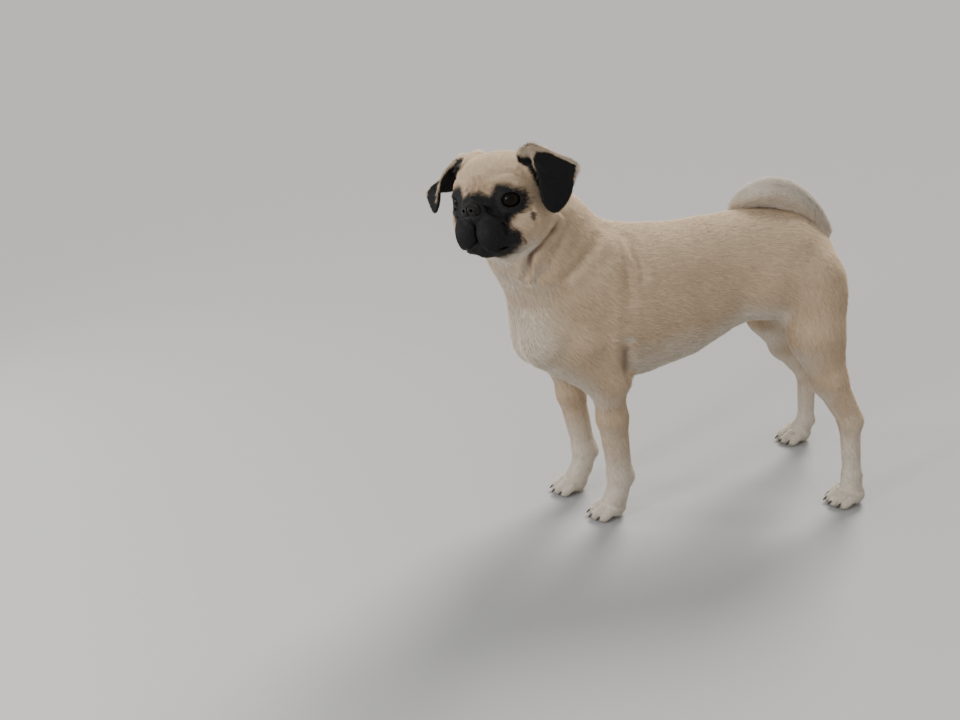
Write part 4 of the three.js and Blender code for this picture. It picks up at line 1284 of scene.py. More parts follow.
# %% Terms and shaders
class Term:
    """An output of a node that takes part in sums."""

    def __init__(self, nodes, socket):
        self.nodes = nodes
        self.socket = socket

    def __add__(self, other):
        return self.nodes.sum("ADD", self, other)

    def __radd__(self, other):
        return self.nodes.sum("ADD", other, self)

    def __sub__(self, other):
        return self.nodes.sum("SUBTRACT", self, other)

    def __rsub__(self, other):
        return self.nodes.sum("SUBTRACT", other, self)

    def __mul__(self, other):
        return self.nodes.sum("MULTIPLY", self, other)

    def larger(self, other):
        return self.nodes.sum("MAXIMUM", self, other)

    def step(self, low, high):
        """0 below low, 1 above high and smooth between them."""
        inputs = {"Value": self, "From Min": low, "From Max": high}
        return self.nodes.add("ShaderNodeMapRange", inputs, interpolation_type="SMOOTHSTEP")


class Nodes:
    """A tree that we add nodes to as we need them."""

    def __init__(self, tree):
        self.tree = tree

    def fill(self, socket, value):
        if isinstance(value, Term):
            self.tree.links.new(value.socket, socket)
        else:
            socket.default_value = value

    def add(self, kind, inputs=None, output=0, **settings):
        node = self.tree.nodes.new(kind)
        for name, value in settings.items():
            setattr(node, name, value)
        for name, value in (inputs or {}).items():
            self.fill(node.inputs[name], value)
        return Term(self, node.outputs[output])

    def sum(self, operation, first, second):
        return self.add("ShaderNodeMath", {0: first, 1: second}, operation=operation)


class Shader(Nodes):
    """A material and the nodes of its look."""

    def __init__(self, name, roughness, specular):
        self.material = bpy.data.materials.new(name)
        self.material.use_nodes = True
        super().__init__(self.material.node_tree)
        self.surface = self.tree.nodes["Principled BSDF"]
        self.set("Roughness", roughness)
        self.set("Specular IOR Level", specular)

    def set(self, name, value):
        self.fill(self.surface.inputs[name], value)

    def mix(self, factor, first, second):
        return self.add("ShaderNodeMix", {0: factor, 6: first, 7: second}, 2, data_type="RGBA")

    def attribute(self, name, output="Fac"):
        return self.add("ShaderNodeAttribute", output=output, attribute_name=name)

    def noise(self, place, scale, detail=2.0):
        inputs = {"Vector": place, "Scale": scale, "Detail": detail}
        return self.add("ShaderNodeTexNoise", inputs) - 0.5

    def place(self):
        return self.add("ShaderNodeTexCoord", output="Object")

    def bump(self, height, distance, strength):
        inputs = {"Height": height, "Distance": distance, "Strength": strength}
        self.set("Normal", self.add("ShaderNodeBump", inputs))


def colour(red, green, blue):
    return (red, green, blue, 1.0)


trial = Shader("test", roughness=0.5, specular=0.5)
trial.set("Roughness", 1 - trial.attribute("any") * 0.5)
print("nodes behind 1 - x * 0.5:", len(trial.tree.nodes) - 2)
bpy.data.materials.remove(trial.material)

# %% [markdown]
# ## The colours of the coat
# Skin and tufts read the same values at the same places, so a tuft on the edge of the mask is
# black or fawn as a whole, and the edge breaks up hair by hair. Every tuft is a little lighter
# or darker than its neighbours and darker at its root.

# %% Coat colours
# Painted light: a lit copy of the fawn for upward faces and a shaded copy for the sides
FAWN_PAINTED_LIT = colour(0.78, 0.595, 0.41)
FAWN_PAINTED_SHADE = colour(0.54, 0.385, 0.255)
CREAM = colour(0.82, 0.74, 0.63)
RUST = colour(0.40, 0.25, 0.16)
# The brown at the edge of the mask, also used as painted shade deep in a fold
FRINGE_AND_FOLD_SHADE = colour(0.10, 0.062, 0.042)  # where the mask ends, and deep in a fold
BLACK = colour(0, 0, 0)
BLACK_HAIR = colour(0.0135, 0.013, 0.0145)
BLACK_SKIN = colour(0.010, 0.009, 0.009)
LIP_PINK = colour(0.13, 0.066, 0.06)
# Painted shade: the skin between the tufts is darker
SHADE_BETWEEN_TUFTS = colour(0.16, 0.11, 0.08)
PATCH_SCALE, STREAK_SCALE, EDGE_SCALE = 0.045, 0.4, 0.16  # noises, per millimetre
MASK_RAGGED, MASK_HAIRY = 5.0, 3.2  # how far the mask's edge wanders, in millimetres
# The fold's darkness is painted shade
FOLD_DARKNESS, FRINGE_DARKNESS, MOLE_AND_CREASE_DARKNESS = 0.92, 0.75, 0.8
HAIR_CONTRAST, STREAK_CONTRAST = 0.26, 0.16
ROOT_LIGHT, TIP_GAIN = 0.8, 0.24


def coat_colour(shader):
    place = shader.attribute("place", "Vector")
    patches = shader.noise(place, PATCH_SCALE, 2)
    streaks = shader.noise(place, STREAK_SCALE, 3)
    edge = shader.noise(place, EDGE_SCALE, 4)
    # Painted light: the fawn is lighter where the skin faces up, and painted shade where it faces
    # aside
    painted_lit = (shader.attribute("painted_top_light") + patches * 0.3).step(0.0, 1.0)
    # Paler legs, belly, chest and tail, with painted light on top of the tail
    paled_and_lit = (shader.attribute("pale_and_lit") + patches * 0.25).step(0.0, 1.0)
    ground = shader.mix(paled_and_lit, shader.mix(painted_lit, FAWN_PAINTED_SHADE, FAWN_PAINTED_LIT), CREAM)
    ground = shader.mix(shader.attribute("rust"), ground, RUST)
    hair = shader.attribute("shade") - 0.5
    mask = shader.attribute("mask") + edge * MASK_RAGGED + hair * MASK_HAIRY
    # The ears' own black, with the painted shade under the flaps
    ear = (shader.attribute("black_and_shade") * 1.5 + edge * 0.4 + hair * 0.8).step(0.45, 0.95)
    # The cream of the crest fuzz, and of the painted rim light along the flaps
    fuzz = (shader.attribute("fuzz") + edge * 0.3 + hair * 0.4).step(0.2, 0.8)
    # The mole, and the painted shade of the cheek crease
    mole_and_crease_shade = (shader.attribute("mole_and_crease_shade") + hair * 0.1).step(0.1, 0.5) * MOLE_AND_CREASE_DARKNESS
    # Painted shade at the bottom of folds
    ground = shader.mix(shader.attribute("painted_fold_shade") * FOLD_DARKNESS, ground, FRINGE_AND_FOLD_SHADE)
    ground = shader.mix(mask.step(-5.0, 1.0) * FRINGE_DARKNESS, ground, FRINGE_AND_FOLD_SHADE)
    black_and_shade = mask.step(-1.6, 1.6).larger(ear).larger(mole_and_crease_shade)
    coloured = shader.mix(black_and_shade, shader.mix(fuzz * 0.4, ground, CREAM), BLACK_HAIR)
    return coloured, black_and_shade, hair, streaks


def fur_material(name):
    shader = Shader(name, roughness=0.75, specular=0.18)
    coloured, black_and_shade, hair, streaks = coat_colour(shader)
    light = 0.92 + hair * HAIR_CONTRAST + streaks * STREAK_CONTRAST
    light = light * (ROOT_LIGHT + shader.attribute("along") * TIP_GAIN)
    shader.set("Base Color", shader.mix(light, BLACK, coloured))
    shader.set("Roughness", 0.8 - black_and_shade * 0.25)
    return shader.material


def skin_material():
    shader = Shader("skin", roughness=0.7, specular=0.25)
    coloured, black_and_shade, *_ = coat_colour(shader)
    bare = shader.attribute("bare").step(0.3, 0.7)
    lip = shader.attribute("lip").step(0.3, 0.7)
    # Painted shade between the tufts, except where the coat is black
    under = shader.mix((1 - black_and_shade) * 0.2, coloured, SHADE_BETWEEN_TUFTS)
    under = shader.mix(lip, shader.mix(bare, under, BLACK_SKIN), LIP_PINK)
    shader.set("Base Color", under)
    shader.set("Roughness", 0.75 - bare * 0.25)
    place = shader.attribute("place", "Vector")
    shader.bump(shader.noise(place, 0.8, 3) + shader.noise(place, 3.0, 2) * 0.4, 0.0006, 0.5)
    return shader.material


fur = fur_material("fur")
skin_look = skin_material()
print("coat materials:", fur.name, skin_look.name)

# %% [markdown]
# ## The skin
# The net becomes one mesh. It is unwrapped once, and every value worked out above is stored on
# it by name, where the shader and the tufts find it.

# %% The skin as an object
LIP_PATH = [(29, 35, -27), (26, 37, -30), (22, 37, -34), (19, 36, -38)]


def pink_lip():
    """A strip of pink lip shows where the mouth ends."""
    curves = [mirrored_curve(LIP_PATH, side, 4) for side in SIDES.values()]
    far = [nearest_on_path(skin_local, curve)[0] for curve in curves]
    return smooth_step(2.8, 1.2, np.minimum(*far))


def painted_top_light():
    """Painted light on the upward faces and painted shade down the flank, darker still in a soft
    patch behind the shoulder.
    """
    up = skin_normals[:, 2]
    x, y, z = skin_points.T
    patch = np.exp(-(((x + 30) / 46) ** 2 + ((np.abs(y) - 54) / 40) ** 2 + ((z - 272) / 24) ** 2))
    return np.clip(0.5 + 0.75 * up - 0.3 * patch, 0, 1)


def rust():
    """The coat is redder between the eyes and on the brow."""
    far = lengths((skin_local - (38, 2, 17)) * (1, 0.8, 1))
    return smooth_step(15, 4, far) * 0.5


def stored(mesh, name, kind, domain, key, values):
    layer = mesh.attributes.new(name, kind, domain)
    layer.data.foreach_set(key, np.ascontiguousarray(values, np.float32).ravel())


def skin_mesh():
    quads = [[v.index for v in f.verts] for f in skin_work.faces]
    mesh = new_mesh("skin", placed(skin_points), quads)
    lip = pink_lip()
    values = {
        "mask": mask, "black_and_shade": black_and_shade, "fuzz": fuzz, "pale_and_lit": pale_and_lit, "bare": np.maximum(bare, lip),
        "mole_and_crease_shade": mole_and_crease_shade, "lip": lip, "painted_top_light": painted_top_light(), "rust": rust(), "painted_fold_shade": painted_fold_shade,
        "hair": hair_length * MM, "shade": np.full(len(mask), 0.5),
    }
    for name, value in values.items():
        stored(mesh, name, "FLOAT", "POINT", "value", value)
    for name, value in {"lie": hair_lie, "outward": skin_normals, "place": skin_points}.items():
        stored(mesh, name, "FLOAT_VECTOR", "POINT", "vector", value)
    first = np.array([q[0] for q in quads])
    layer = mesh.attributes.new("region", "INT", "FACE")
    layer.data.foreach_set("value", region[first].astype(np.int32))
    mesh.materials.append(skin_look)
    return mesh


def shown(name, mesh):
    thing = bpy.data.objects.new(name, mesh)
    bpy.context.scene.collection.objects.link(thing)
    return thing


skin = shown("skin", skin_mesh())
skin_work.free()
bpy.context.view_layer.objects.active = skin
skin.select_set(True)
bpy.ops.object.mode_set(mode="EDIT")
bpy.ops.mesh.select_all(action="SELECT")
bpy.ops.uv.smart_project(angle_limit=math.radians(60), island_margin=0.001)
bpy.ops.object.mode_set(mode="OBJECT")
print("skin:", len(skin.data.polygons), "faces, unwrapped as", skin.data.uv_layers.active.name)

# %% [markdown]
# ## The coat
# Thousands of tufts are scattered by Geometry Nodes. Each one grows from a point of the skin,
# points the way the hair lies there, lifts off by a few degrees, and copies a small spike of
# four triangles. The spike carries its own patch of the skin's unwrap.

# %% One tuft
def tuft_mesh():
    """A flat spike one long and one wide, with its root on the skin and its tip ahead."""
    corners = [(0, -0.5, 0), (0, 0.5, 0), (0.25, 0, 0.5), (1, 0, 0.12)]
    mesh = new_mesh("tuft", corners, [(2, 1, 0), (1, 3, 0), (2, 3, 1), (0, 3, 2)])
    stored(mesh, "along", "FLOAT", "POINT", "value", [c[0] for c in corners])
    patch = [(c[0], c[1] + 0.5, 0) for c in corners]
    stored(mesh, "patch", "FLOAT_VECTOR", "POINT", "vector", patch)
    return mesh


tuft = shown("tuft", tuft_mesh())
print("a tuft has", len(tuft.data.polygons), "triangles")


# %% The nodes that scatter tufts
PATCH_SIZE = 0.003  # side of a tuft's patch on the unwrap
FUZZ_LIFT, FUZZ_GROWTH = 0.6, 0.9  # fuzz stands up and is longer by these shares
VECTOR = "FLOAT_VECTOR"


class Scatter(Nodes):
    """A Geometry Nodes group and the inputs that a piece of coat sets."""

    INPUTS = {
        "Density": ("NodeSocketFloat", 1.0),
        "Seed": ("NodeSocketInt", 1),
        "Region": ("NodeSocketInt", 0),
        "Width": ("NodeSocketFloat", 0.001),
        "Lift": ("NodeSocketFloat", 0.15),
        "Unrest": ("NodeSocketFloat", 0.2),
        "Tuft": ("NodeSocketObject", None),
        "Material": ("NodeSocketMaterial", None),
    }

    def __init__(self):
        super().__init__(bpy.data.node_groups.new("coat", "GeometryNodeTree"))
        self.sockets = {}
        self.new_socket("Geometry", "NodeSocketGeometry", "INPUT")
        for name, (kind, value) in self.INPUTS.items():
            self.new_socket(name, kind, "INPUT", value)
        self.new_socket("Geometry", "NodeSocketGeometry", "OUTPUT")
        self.entry = self.tree.nodes.new("NodeGroupInput")
        leave = self.tree.nodes.new("NodeGroupOutput")
        self.fill(leave.inputs[0], self.tufts(self.roots()))

    def new_socket(self, name, kind, way, value=None):
        socket = self.tree.interface.new_socket(name, in_out=way, socket_type=kind)
        if value is not None:
            socket.default_value = value
        if way == "INPUT":
            self.sockets[name] = socket.identifier

    def asked(self, name):
        return Term(self, self.entry.outputs[name])

    def named(self, name, kind="FLOAT"):
        return self.add("GeometryNodeInputNamedAttribute", {"Name": name}, data_type=kind)

    def vector(self, operation, first, second):
        return self.add("ShaderNodeVectorMath", {0: first, 1: second}, operation=operation)

    def scaled(self, vector, factor):
        return self.add("ShaderNodeVectorMath", {0: vector, "Scale": factor}, operation="SCALE")

    def random(self, low, high, seed):
        kind, first, output = (VECTOR, 0, 0) if isinstance(low, tuple) else ("FLOAT", 2, 1)
        inputs = {first: low, first + 1: high, "Seed": seed}
        return self.add("FunctionNodeRandomValue", inputs, output, data_type=kind)

    def kept(self, geometry, name, value, kind="FLOAT", domain="POINT"):
        inputs = {"Geometry": geometry, "Name": name, "Value": value}
        return self.add("GeometryNodeStoreNamedAttribute", inputs, data_type=kind, domain=domain)

    def roots(self):
        """Points on one region of the skin, each with a shade and its place on the unwrap."""
        seed = self.asked("Seed")
        here = self.add(
            "FunctionNodeCompare", {2: self.named("region", "INT"), 3: self.asked("Region")},
            data_type="INT", operation="EQUAL",
        )
        part = self.add(
            "GeometryNodeSeparateGeometry",
            {"Geometry": self.asked("Geometry"), "Selection": here}, domain="FACE",
        )
        density = self.asked("Density") * (1.0 - self.named("bare"))
        points = self.add(
            "GeometryNodeDistributePointsOnFaces", {"Mesh": part, "Density": density, "Seed": seed}
        )
        points = self.kept(points, "shade", self.random(0.0, 1.0, seed + 3))
        return self.kept(points, "root", self.named("UVMap", VECTOR), VECTOR)

    def turn(self):
        """A tuft lies with the hair, strays a little and lifts off the skin."""
        outward = self.vector("NORMALIZE", self.named("outward", VECTOR), (0, 0, 0))
        astray = self.random((-1, -1, -1), (1, 1, 1), self.asked("Seed"))
        ahead = self.scaled(astray, self.asked("Unrest"))
        ahead = self.vector("ADD", self.named("lie", VECTOR), ahead)
        lift = self.asked("Lift") + self.named("fuzz") * FUZZ_LIFT
        ahead = self.vector("ADD", ahead, self.scaled(outward, lift))
        return self.add(
            "FunctionNodeAxesToRotation", {"Primary Axis": ahead, "Secondary Axis": outward},
            primary_axis="X", secondary_axis="Z",
        )

    def size(self):
        seed = self.asked("Seed")
        long = self.named("hair") * (1.0 + self.named("fuzz") * FUZZ_GROWTH)
        long = long * self.random(0.75, 1.15, seed)
        wide = self.asked("Width") * self.random(0.7, 1.3, seed + 7)
        return self.add("ShaderNodeCombineXYZ", {"X": long, "Y": wide, "Z": wide * 0.5})

    def tufts(self, points):
        """A tuft at every point, with its own patch of the unwrap round the place of its root."""
        spike = self.add("GeometryNodeObjectInfo", {"Object": self.asked("Tuft")}, "Geometry")
        grown = self.add(
            "GeometryNodeInstanceOnPoints",
            {"Points": points, "Instance": spike, "Rotation": self.turn(), "Scale": self.size()},
        )
        real = self.add("GeometryNodeRealizeInstances", {"Geometry": grown})
        spot = self.scaled(self.named("patch", VECTOR), PATCH_SIZE)
        spot = self.vector("ADD", self.named("root", VECTOR), spot)
        spot = self.vector("SUBTRACT", spot, (PATCH_SIZE / 2, PATCH_SIZE / 2, 0))
        real = self.kept(real, "OFBake", spot, "FLOAT2", "CORNER")
        look = {"Geometry": real, "Material": self.asked("Material")}
        return self.add("GeometryNodeSetMaterial", look)


scatter = Scatter()
print("inputs of the coat's nodes:", ", ".join(scatter.sockets))

# %% [markdown]
# ## Growing it
# Each region gets its own density, width and lift. The face has many fine tufts, the neck and
# the tail have longer ones that stand off more. A tuft's shading follows the skin below it, so
# that short fur looks soft instead of spiky. Only fuzz is partly shaded by its own shape.

# %% Pieces of the coat
PER_MM2 = 1e6  # one tuft per square millimetre, in tufts per square metre
COAT = {  # tufts per square millimetre, width in millimetres, lift, unrest
    "muzzle": (3.2, 0.45, 0.10, 0.14),
    "face": (3.0, 0.45, 0.10, 0.14),
    "skull": (2.6, 0.48, 0.12, 0.16),
    "ear": (3.4, 0.45, 0.12, 0.20),
    "neck": (1.0, 0.70, 0.14, 0.14),
    "shoulders": (0.9, 0.75, 0.12, 0.13),
    "chest": (0.9, 0.75, 0.14, 0.15),
    "ribs": (0.9, 0.75, 0.11, 0.13),
    "loin": (0.9, 0.75, 0.11, 0.13),
    "rump": (0.9, 0.75, 0.12, 0.13),
    "tail": (1.8, 0.70, 0.20, 0.20),
    "foreleg": (1.0, 0.65, 0.10, 0.14),
    "hindleg": (0.8, 0.75, 0.12, 0.14),
    "paws": (1.5, 0.55, 0.10, 0.16),
}
TUFT_CORNERS = 4
NORMAL_TILT, OWN_SHARE = 0.13, 3.3


def coat_piece(name, number):
    density, width, lift, unrest = COAT[name.split("_")[0]]
    share = 1.0
    thing = shown("coat_" + name, skin.data)
    nodes = thing.modifiers.new("coat", "NODES")
    nodes.node_group = scatter.tree
    settings = {
        "Density": density * PER_MM2 * share, "Seed": 11 + 20 * number, "Region": number,
        "Width": width * MM, "Lift": lift, "Unrest": unrest, "Tuft": tuft, "Material": fur,
    }
    for key, value in settings.items():
        nodes[scatter.sockets[key]] = value
    thing.update_tag()
    graph = bpy.context.evaluated_depsgraph_get()
    mesh = bpy.data.meshes.new_from_object(thing.evaluated_get(graph), depsgraph=graph)
    thing.modifiers.remove(nodes)
    thing.data = mesh
    softened(mesh, number)
    return thing


def per_vertex(mesh, data, key, width=1):
    values = np.zeros(len(mesh.vertices) * width, np.float32)
    data.foreach_get(key, values)
    return values.reshape(-1, width)


def softened(mesh, number):
    """Tufts are shaded like the skin below them; those that stand up, partly by themselves."""
    outward = per_vertex(mesh, mesh.attributes["outward"].data, "vector", 3)
    fuzzy = per_vertex(mesh, mesh.attributes["fuzz"].data, "value")
    own = per_vertex(mesh, mesh.vertex_normals, "vector", 3)
    tufts = len(outward) // TUFT_CORNERS
    tilt = np.random.default_rng(number).normal(0, NORMAL_TILT, (tufts, 3))
    soft = normed(outward + np.repeat(tilt, TUFT_CORNERS, 0))
    soft = normed(soft + own * (OWN_SHARE * fuzzy))
    mesh.normals_split_custom_set_from_vertices(soft.tolist())


coat = {name: coat_piece(name, number) for number, name in enumerate(REGIONS)}
bpy.data.objects.remove(tuft)
counts = {name: len(thing.data.polygons) for name, thing in coat.items()}
print("triangles in the coat:", counts, "in all", sum(counts.values()))

# %% [markdown]
# ## Eyes
# A pug's eye is a dark wet ball. The clear front bulges over the iris, so the ball is made of
# rings round the gaze. Its colour goes from a wide black pupil over a dark brown iris to a
# dark rim, and the white doesn't show.

# %% Eyes
EYE_RINGS, EYE_TURNS = 40, 48
CORNEA_RADIUS, CORNEA_BULGE = 8.2, 0.7
PUPIL_RADIUS, IRIS_RADIUS = 4.4, 7.9
EYE_GAP = 0.3
PUPIL_COLOUR, EYE_RIM_COLOUR = colour(0.002, 0.002, 0.002), colour(0.010, 0.006, 0.005)
IRIS_DARK, IRIS_LIGHT = colour(0.006, 0.004, 0.003), colour(0.012, 0.007, 0.005)


def rings_mesh(name, rings):
    """A closed surface through rings of equal count, with a point at both ends."""
    count = len(rings[0])
    points = np.vstack([rings[0].mean(0)[None], *rings, rings[-1].mean(0)[None]])
    faces = [(0, 1 + (i + 1) % count, 1 + i) for i in range(count)]
    for row in range(len(rings) - 1):
        for i in range(count):
            a, b = 1 + row * count + i, 1 + row * count + (i + 1) % count
            faces.append((a, b, b + count, a + count))
    last, end = 1 + (len(rings) - 1) * count, len(points) - 1
    faces += [(last + i, last + (i + 1) % count, end) for i in range(count)]
    mesh = new_mesh(name, placed(points), faces)
    work = bmesh.new()
    work.from_mesh(mesh)
    bmesh.ops.recalc_face_normals(work, faces=work.faces)
    work.to_mesh(mesh)
    work.free()
    return mesh


def eye_mesh(name, side):
    gaze, across, above = eye_directions(side)
    around = np.linspace(0, 2 * math.pi, EYE_TURNS, endpoint=False)
    circle = np.cos(around)[:, None] * across + np.sin(around)[:, None] * above
    radius = EYE_RADIUS - EYE_GAP
    rings, away = [], []
    for angle in np.linspace(0.02, math.pi - 0.02, EYE_RINGS):
        out, ahead = radius * math.sin(angle), radius * math.cos(angle)
        bulge = CORNEA_BULGE * float(smooth_step(CORNEA_RADIUS, 0, out)) * (ahead > 0)
        rings.append(from_head(mirrored(EYE_CENTRE, side) + (ahead + bulge) * gaze + out * circle))
        away += [out if ahead > 0 else EYE_RADIUS] * EYE_TURNS
    mesh = rings_mesh(name, rings)
    stored(mesh, "away", "FLOAT", "POINT", "value", [0.0, *away, EYE_RADIUS])
    return mesh


def eye_material():
    shader = Shader("eye", roughness=0.3, specular=0.04)
    away = shader.attribute("away")
    rays = shader.noise(shader.place(), 900, 3).step(-0.2, 0.3)
    iris = shader.mix(rays, IRIS_DARK, IRIS_LIGHT)
    look = shader.mix(away.step(PUPIL_RADIUS - 0.4, PUPIL_RADIUS + 0.4), PUPIL_COLOUR, iris)
    look = shader.mix(away.step(IRIS_RADIUS - 0.5, IRIS_RADIUS + 0.3), look, EYE_RIM_COLOUR)
    shader.set("Base Color", look)
    shader.set("Coat Weight", 0.14)
    shader.set("Coat Roughness", 0.03)
    return shader.material


eye_look = eye_material()
eyes = {}
for name, side in SIDES.items():
    eyes[name] = shown("eye_" + name + "_look", eye_mesh("eye_" + name, side))
    eyes[name].data.materials.append(eye_look)
print("eyes:", {name: len(eye.data.polygons) for name, eye in eyes.items()}, "faces")

# %% [markdown]
# ## Nose
# The nose has its own fine net. Two nostrils open to the front and run out to the sides in a
# slit, a groove parts its front, and the leather is pebbled.

# %% Nose
NOSE_STEP = 0.6
NOSE_HALF = 22.0
PEBBLE_SCALE, PEBBLE_DEPTH = 900.0, 0.00022
# The grooves between the pebbles are darker, as painted shade
PEBBLE_TOP, PEBBLE_GROOVE_SHADE = colour(0.010, 0.009, 0.009), colour(0.005, 0.005, 0.005)
SLIT_HALF_WIDTH, SLIT_DEPTH, SLIT_TOP = 0.35, 1.3, 2.5
NOSE_FORMS = [ellipsoid((46.4, 0, -0.4), (7.2, 8.0, 6.4), 3)]
NOSE_HOLES = []
for s in SIDES.values():
    NOSE_FORMS.append(ellipsoid((46.6, s * 5.2, -1.7), (6.0, 5.2, 5.1), 3))
    NOSE_HOLES.append(limb((57.6, s * 3.6, 0), (51, s * 4.3, -1), 2.2, 1.3, 1))
    NOSE_HOLES.append(limb((54.6, s * 5, -1), (49.6, s * 9.3, -2.8), 1.3, 0.8, 1))


def nose_distance(points):
    local = to_head(points)
    d = join(NOSE_FORMS, local) + 0.15
    for hole in NOSE_HOLES:
        d = smooth_max(d, -hole.distance(local), 0.7)
    slit = np.maximum(np.abs(local[:, 1]) - SLIT_HALF_WIDTH, -d - SLIT_DEPTH)
    return np.where(local[:, 2] < SLIT_TOP, smooth_max(d, -slit, 0.8), d)


def nose_material():
    shader = Shader("nose", roughness=0.5, specular=0.2)
    inputs = {"Vector": shader.place(), "Scale": PEBBLE_SCALE, "Randomness": 0.9}
    pebbles = shader.add("ShaderNodeTexVoronoi", inputs, feature="SMOOTH_F1")
    shader.bump(1 - pebbles, PEBBLE_DEPTH, 0.6)
    # Painted shade in the grooves between the pebbles
    shader.set("Base Color", shader.mix(pebbles, PEBBLE_TOP, PEBBLE_GROOVE_SHADE))
    shader.set("Roughness", 0.42 + pebbles * 0.2)
    shader.set("Coat Weight", 0.05)
    return shader.material


def nose_mesh():
    middle = from_head((47, 0, 0))
    points, quads = net(nose_distance, middle - NOSE_HALF, middle + NOSE_HALF, NOSE_STEP)
    points = spread(nose_distance, points, quads, NOSE_STEP)
    return new_mesh("nose", placed(points), quads.tolist())


nose = shown("nose_leather", nose_mesh())
nose.data.materials.append(nose_material())
print("nose:", len(nose.data.polygons), "faces")

# %% [markdown]
# ## Claws
# Four short claws leave the front of each paw. They curve down and thin out, and their horn
# is a mottled dark brown.

# %% Claws
CLAW = np.array([(-5, 0, 8), (3.4, 0, 8.6), (5.8, 0, 3)])  # root, arch and tip
CLAW_RADIUS, CLAW_TAPER = 2.1, 1.4
CLAW_SET = 4
CLAW_RINGS, CLAW_TURNS = 12, 16
CLAW_FLAT = 0.8
CLAW_DARK, CLAW_LIGHT = colour(0.03, 0.022, 0.017), colour(0.075, 0.058, 0.045)


def claw_rings(x, y, size):
    root, arch, tip = CLAW * (-1, 1, 1)
    around = np.linspace(0, 2 * math.pi, CLAW_TURNS, endpoint=False)[:, None]
    rings = []
    for t in np.linspace(0, 1, CLAW_RINGS):
        middle = (1 - t) ** 2 * root + 2 * t * (1 - t) * arch + t * t * tip
        along = unit((1 - t) * (arch - root) + t * (tip - arch))
        upright = np.cross(along, (0, 1, 0))
        radius = (CLAW_RADIUS - CLAW_TAPER * t) * size * (1 if t < 0.98 else 0.55)
        circle = np.cos(around) * upright + CLAW_FLAT * np.sin(around) * np.array([0, 1, 0])
        rings.append(np.array([x, y, 0]) + middle * size + radius * circle)
    return rings


def claw_material():
    shader = Shader("claw", roughness=0.4, specular=0.5)
    grain = shader.noise(shader.place(), 700, 2).step(-0.3, 0.3)
    shader.set("Base Color", shader.mix(grain, CLAW_DARK, CLAW_LIGHT))
    return shader.material


def joined(name, meshes):
    """One mesh from several, which are then removed."""
    work = bmesh.new()
    for mesh in meshes:
        work.from_mesh(mesh)
        bpy.data.meshes.remove(mesh)
    whole = bpy.data.meshes.new(name)
    work.to_mesh(whole)
    work.free()
    return whole


claw_look = claw_material()
claws = {}
for kind, legs, size in (("fore", FORELEG, FORE_PAW_SIZE), ("hind", HINDLEG, HIND_PAW_SIZE)):
    for name, (*_, (px, py)) in legs.items():
        meshes = []
        for ahead, aside, *_ in TOES:
            rings = claw_rings(px - (ahead + CLAW_SET) * size, py + aside * size, size)
            meshes.append(rings_mesh("claw", rings))
        paw = kind + "_" + name
        claws[paw] = shown("claws_" + paw, joined("claws_" + paw, meshes))
        claws[paw].data.materials.append(claw_look)
print("claws on", ", ".join(claws))

# %% [markdown]
# ## Floor and light
# A plain pale floor in a plain studio. A wide soft sun from behind and above rims the back, a
# weak lamp in front opens up the mask, and two small lamps put a glint in the eyes. The world
# is as bright as the floor under the sun, so that no horizon shows.

# %% Floor, world and lights
FLOOR_SIZE = 400.0
SUN_PLACE, SUN_STRENGTH, SUN_SPREAD = (0.75, 1.0, 1.45), 4.2, math.radians(24)
LIGHTS = {  # place, size and watts
    "fill": ((-1.3, -1.3, 1.1), 1.4, 4),
    "catch_left": ((-1.20, -0.65, 0.62), 0.18, 5.6),
    "catch_right": ((-1.35, 0.32, 0.50), 0.18, 3.6),
}
LIGHT_AIM = Vector((-0.03, 0, 0.2))
WORLD_LIGHT, WORLD_COLOUR = 0.675, colour(1.0, 0.975, 0.93)
FLOOR_COLOUR = colour(0.419, 0.425, 0.4315)


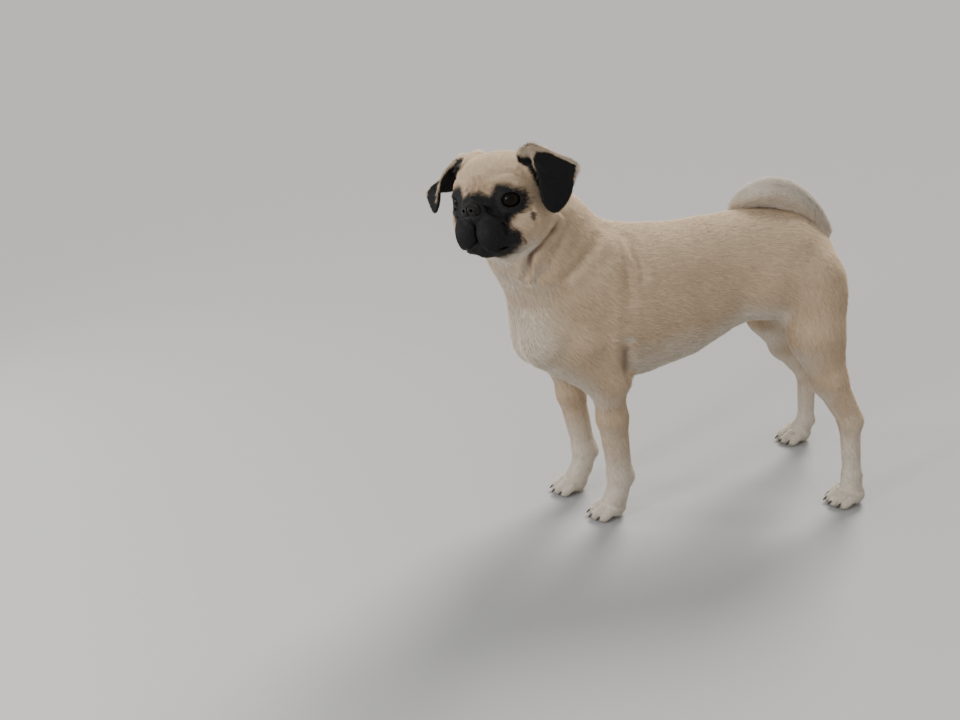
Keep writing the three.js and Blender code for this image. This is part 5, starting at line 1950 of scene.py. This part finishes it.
def floor_object():
    half = FLOOR_SIZE / 2
    corners = [(-half, -half, 0), (half, -half, 0), (half, half, 0), (-half, half, 0)]
    mesh = new_mesh("floor", corners, [(0, 1, 2, 3)], smooth=False)
    shader = Shader("floor", roughness=0.9, specular=0)
    shader.set("Base Color", FLOOR_COLOUR)
    mesh.materials.append(shader.material)
    return shown("floor", mesh)


def aimed(light, place):
    bpy.context.scene.collection.objects.link(light)
    light.location = place
    light.rotation_euler = (LIGHT_AIM - Vector(place)).to_track_quat("-Z", "Y").to_euler()
    return light


def wide_sun():
    """One even light over the whole floor, soft because it is so wide."""
    data = bpy.data.lights.new("key", "SUN")
    data.energy, data.angle = SUN_STRENGTH, SUN_SPREAD
    data.color = (1.0, 0.95, 0.88)
    return aimed(bpy.data.objects.new("key", data), SUN_PLACE)


def soft_light(name, place, size, watts):
    data = bpy.data.lights.new(name, "AREA")
    data.size, data.energy = size, watts
    return aimed(bpy.data.objects.new(name, data), place)


floor = floor_object()
wide_sun()
for name, (place, size, watts) in LIGHTS.items():
    soft_light(name, place, size, watts)
world = bpy.data.worlds.new("studio")
world.use_nodes = True
backdrop = world.node_tree.nodes["Background"].inputs
backdrop["Color"].default_value = WORLD_COLOUR
backdrop["Strength"].default_value = WORLD_LIGHT
bpy.context.scene.world = world
print("lights:", ", ".join(LIGHTS))

# %% [markdown]
# ## Tie the pieces to the frame
# Every piece rides on the one rigid body of this dog. The skin stands for all solids of flesh
# and fur, each eye, the nose and the claws for their own solids.

# %% Pieces and the solids they replace
FLESH = ["head", "ear_left", "ear_right", "neck", "torso", "tail"]
for name in SIDES:
    FLESH += [part + name for part in ("foreleg_", "hindleg_", "paw_fore_", "paw_hind_")]

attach(skin, "root")
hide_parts(*FLESH)
for name, thing in coat.items():
    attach(thing, "root")
for name, thing in eyes.items():
    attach(thing, "root")
    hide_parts("eye_" + name)
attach(nose, "root")
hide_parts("nose")
for name, thing in claws.items():
    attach(thing, "root")
    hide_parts(*[f"claw_{name}_{i}" for i in range(1, 5)])
